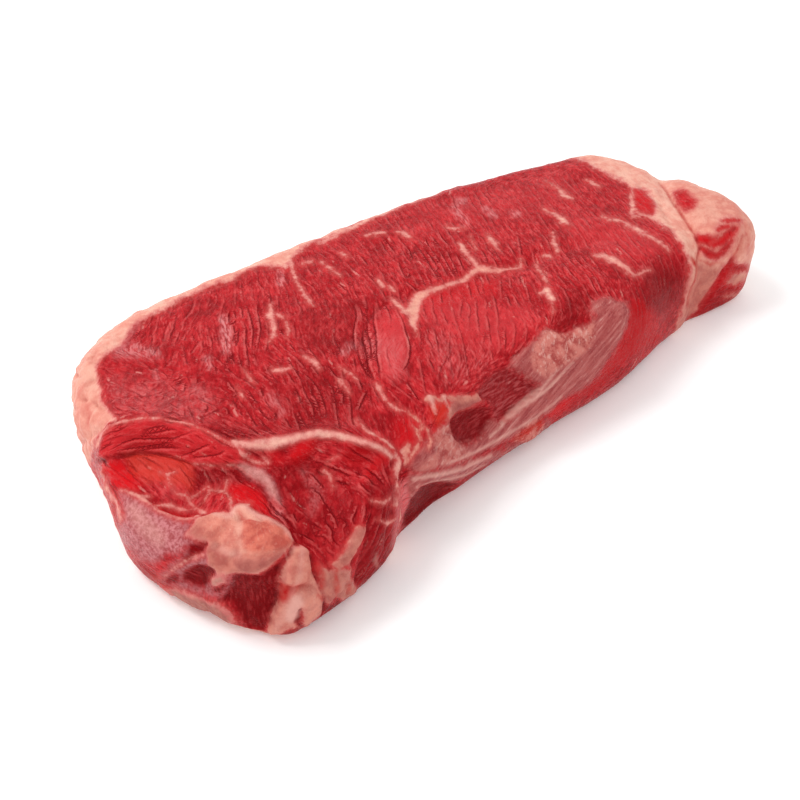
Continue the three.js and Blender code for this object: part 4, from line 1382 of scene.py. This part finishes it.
def lean_colour(n, fibre, grit, mottle, blotch):
    """Cut lean: mottled red, with wrinkles painted dark as shade and light on one edge as a highlight, and
    tints.
    """
    tone = n.plus(n.times(mottle, 0.55), n.times(blotch, 0.45))
    colour = n.mix(n.step(tone, 0.38, 0.52), "lean dark", "lean")
    colour = n.mix(n.step(tone, 0.48, 0.64), colour, "lean light")
    # Bright: lighter lean, and on the edge strip painted light where the wall is in shade.
    colour = n.mix(n.field("bright"), colour, "lean bright")
    colour = n.mix(n.step(fibre, 0.52, 0.64, 0, 0.45), colour, "fibre light")
    colour = n.mix(n.step(fibre, 0.48, 0.36, 0, 0.48), colour, "fibre dark")
    # Pale flecks, partly painted wet glints.
    speck = n.times(n.field("fleck"), n.step(grit, 0.3, 0.6, 0.3, 0.9))
    colour = n.mix(n.step(speck, 0.2, 0.6, 0, 0.6), colour, "fleck")
    side = n.plus(n.field("wrinkle_side"), n.step(grit, 0.2, 0.8, -0.12, 0.12))
    gap = n.field("wrinkle_gap")
    force = n.field("wrinkle")
    # A painted highlight along one side of each wrinkle.
    light = n.times(n.step(side, 0.2, 0.45), n.step(side, 1.0, 0.55), n.step(gap, 1.2, 0.8), force, 0.6)
    colour = n.mix(light, colour, "wrinkle light")
    # Veil: a pale film, and painted sheen where it is broad.
    colour = n.mix(n.times(n.field("veil"), n.step(fibre, 0.42, 0.6, 0.15, 0.8)), colour, "veil")
    colour = n.mix(n.times(n.field("fresh"), n.step(fibre, 0.4, 0.62, 1.0, 0.6)), colour, "fresh")
    colour = n.mix(n.times(n.field("amber"), 0.55), colour, "amber")
    # Deep: darker lean, and painted shade in pockets, undercuts, folds, notches, gaps and on shaded walls.
    colour = n.mix(n.times(n.field("deep"), n.step(fibre, 0.4, 0.65, 1.0, 0.7)), colour, "deep")
    # Painted shade in the groove of each wrinkle.
    dark = n.times(n.step(n.math("ABSOLUTE", side), 0.3, 0.02), n.step(gap, 0.54, 0.32), force)
    return n.mix(n.step(dark, 0.0, 0.8, 0, 0.75), colour, "wrinkle dark"), dark


def skin_colour(n, place, grit, mottle, lumps):
    """Silver-skin: pale fibre streaks with painted sheen along the near side, and a crinkled amber part with
    painted highlights.
    """
    streak = n.noise(n.drawn_out(place, pixel_way(SILVER_WAY), STREAKS_DRAWN), *STREAKS)
    colour = n.mix(n.step(streak, 0.36, 0.62), "silver dark", "silver")
    colour = n.mix(n.step(lumps, 0.4, 0.65, 0, 0.5), colour, "silver cloud")
    # Pale streaks of fibre, with painted sheen.
    colour = n.mix(n.step(streak, 0.58, 0.72, 0, 0.35), colour, "silver streak")
    crinkle = n.mix(n.step(lumps, 0.36, 0.6), "crinkle dark", "crinkle")
    # Painted highlights on the crinkles.
    crinkle = n.mix(n.step(mottle, 0.52, 0.66, 0, 0.6), crinkle, "crinkle light")
    colour = n.mix(n.step(n.field("amber"), 0.1, 0.5, 0, 0.9), colour, crinkle)
    return n.mix(n.step(grit, 0.55, 0.8, 0, 0.25), colour, "silver grit")


def lilac_colour(n, place, grit):
    """Thin membrane over the tail: mottled lilac pink, darkened by painted shade where tinted."""
    colour = n.mix(n.step(n.noise(place, *NET), 0.36, 0.64), "lilac dark", "lilac")
    # Painted shade over the membrane where it is tinted.
    colour = n.mix(n.field("dull_shade"), colour, "lilac dull")
    return n.mix(n.step(grit, 0.55, 0.8, 0, 0.35), colour, "lilac grit")


def fat_colour(n, edge, grit, mottle, lumps, blotch):
    """Fat: cream to salmon, pinker at its edge and in thin threads, stained red where it is torn, with
    painted glints and shade.
    """
    blush = n.field("blush")
    tone = n.plus(n.times(lumps, 0.5), n.times(blotch, 0.5))
    cream = n.mix(n.step(tone, 0.38, 0.6), "cream dark", "cream")
    salmon = n.mix(n.step(lumps, 0.35, 0.65), "salmon dark", "salmon")
    colour = n.mix(blush, cream, salmon)
    # Painted glints: pale specks on the fat.
    colour = n.mix(n.step(grit, 0.52, 0.8, 0, 0.15), colour, "fat grit")
    colour = n.mix(n.step(mottle, 0.42, 0.28, 0, 0.2), colour, "fat shade")
    # Painted shade, in places a greyer film.
    colour = n.mix(n.times(n.field("dull_shade"), n.step(lumps, 0.35, 0.65, 1.0, 0.8)), colour, "fat dull")
    rim = n.times(n.step(edge, 1.0, 5.0, 0.75, 0.0), n.step(blush, 0.1, 0.7, 1.0, 0.2))
    colour = n.mix(rim, colour, "fat edge")
    return n.mix(n.times(n.field("stain"), n.step(mottle, 0.3, 0.65, 1.0, 0.75)), colour, "stain")


def meat_material():
    """Lean, then silver-skin, membrane and fat over it, each with an edge frayed by noise."""
    material = bpy.data.materials.new("meat")
    material.use_nodes = True
    n = Nodes(material)
    place = n.vector("SCALE", "Vector", n.add("ShaderNodeTexCoord").outputs["Object"])
    place.node.inputs["Scale"].default_value = 1 / MM
    drawn = n.drawn_out(place, pixel_way(GRIT_WAY), GRIT_DRAWN)
    grit = n.noise(drawn, *GRIT)
    mottle = n.noise(drawn, *MOTTLE)
    blotch = n.noise(place, *BLOTCH)
    lumps = n.noise(place, *LUMPS)

    fray = n.plus(n.step(lumps, 0, 1, -2.2, 2.2), n.step(grit, 0, 1, -1.0, 1.0))
    edge = n.plus(n.field("fat"), fray)
    fat = n.step(edge, -0.8, 2.2)
    beside_fat = n.step(edge, -4.5, 0.5, 0, 0.5)
    silver = n.step(n.plus(n.field("silver"), fray), -4.5, 3.5)
    lilac = n.step(n.plus(n.field("lilac"), fray), -6.0, 6.0)

    calm = n.times(n.step(n.field("bright"), 0, 1, 1.0, 0.6), n.step(blotch, 0.4, 0.58, 0.65, 1.05))
    fibre = n.math("MULTIPLY_ADD", n.math("SUBTRACT", fibres(n, place), 0.5), calm, 0.5)
    colour, dark = lean_colour(n, fibre, grit, mottle, blotch)
    colour = n.mix(silver, colour, skin_colour(n, place, grit, mottle, lumps))
    colour = n.mix(lilac, colour, lilac_colour(n, place, grit))
    colour = n.mix(beside_fat, colour, "beside fat")
    colour = n.mix(fat, colour, fat_colour(n, edge, grit, mottle, lumps, blotch))
    # Pale strands and fat, and painted highlights on the lump crest and the gleams.
    colour = n.mix(n.times(n.field("pale"), 0.8), colour, "pale")
    # Painted shade in creases and recesses, darkest where the surface lies deepest below its surroundings.
    hollow_shade = n.step(n.field("hollow_shade"), 0.05, 1.0, 0, 0.5)
    colour = n.mix(hollow_shade, colour, n.mix(fat, "lean hollow", "fat hollow"))

    height = n.plus(n.times(fibre, 0.8), n.times(grit, 0.4))
    height = n.math("SUBTRACT", height, n.times(dark, 0.6))
    bump = n.add("ShaderNodeBump", {"Strength": BUMP, "Distance": BUMP_HEIGHT, "Height": height})
    rough = n.plus(n.step(fat, 0, 1, 0.28, 0.36), n.step(grit, 0.3, 0.7, -0.08, 0.1))
    shader = n.add("ShaderNodeBsdfPrincipled", {
        "Base Color": colour, "Roughness": rough, "Normal": bump.outputs[0], "IOR": REFRACTION,
        "Specular IOR Level": SPECULAR,
    })
    n.add("ShaderNodeOutputMaterial", {"Surface": shader.outputs[0]})
    return material


mesh.materials.append(meat_material())
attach(skin, "root")
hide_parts("steak")


# Studio.
def floor_object():
    half = FLOOR_SIDE / 2
    corners = [(-half, -half, 0), (half, -half, 0), (half, half, 0), (-half, half, 0)]
    sheet = bpy.data.meshes.new("floor")
    sheet.from_pydata(corners, [], [(0, 1, 2, 3)])
    material = bpy.data.materials.new("floor")
    material.use_nodes = True
    sockets = material.node_tree.nodes["Principled BSDF"].inputs
    sockets["Base Color"].default_value = (FLOOR_GREY, FLOOR_GREY, FLOOR_GREY, 1)
    sockets["Emission Color"].default_value = (1, 1, 1, 1)
    sockets["Emission Strength"].default_value = FLOOR_GLOW
    sockets["Roughness"].default_value = FLOOR_ROUGH
    sockets["Specular IOR Level"].default_value = 0.0
    sheet.materials.append(material)
    floor = bpy.data.objects.new("floor", sheet)
    bpy.context.scene.collection.objects.link(floor)
    floor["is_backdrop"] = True


def soft_light():
    """A square lamp that faces the steak."""
    lamp = bpy.data.lights.new("key", "AREA")
    lamp.size = LAMP_SIDE
    lamp.energy = LAMP_POWER
    holder = bpy.data.objects.new("key", lamp)
    holder.location = LAMP_PLACE
    holder.rotation_euler = (-Vector(LAMP_PLACE)).to_track_quat("-Z", "Y").to_euler()
    bpy.context.scene.collection.objects.link(holder)


def surroundings():
    world = bpy.data.worlds.new("studio")
    world.use_nodes = True
    sockets = world.node_tree.nodes["Background"].inputs
    sockets["Color"].default_value = (1, 1, 1, 1)
    sockets["Strength"].default_value = SURROUNDINGS
    bpy.context.scene.world = world


def photo_camera():
    lens = bpy.data.cameras.new("camera")
    lens.sensor_width = SENSOR
    lens.lens = FOCAL / IMAGE * SENSOR
    lens.clip_start = 1 * MM
    camera = bpy.data.objects.new("camera", lens)
    camera.location = EYE
    camera.rotation_euler = (-BACK).to_track_quat("-Z", "Y").to_euler()
    bpy.context.scene.collection.objects.link(camera)
    bpy.context.scene.camera = camera


floor_object()
soft_light()
surroundings()
photo_camera()
bpy.context.scene.view_settings.view_transform = "Standard"

bpy.context.view_layer.update()
boxes = {"cad": CAD_BOX, "visual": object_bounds()}
{name: [list(corner) for corner in box] for name, box in boxes.items()}
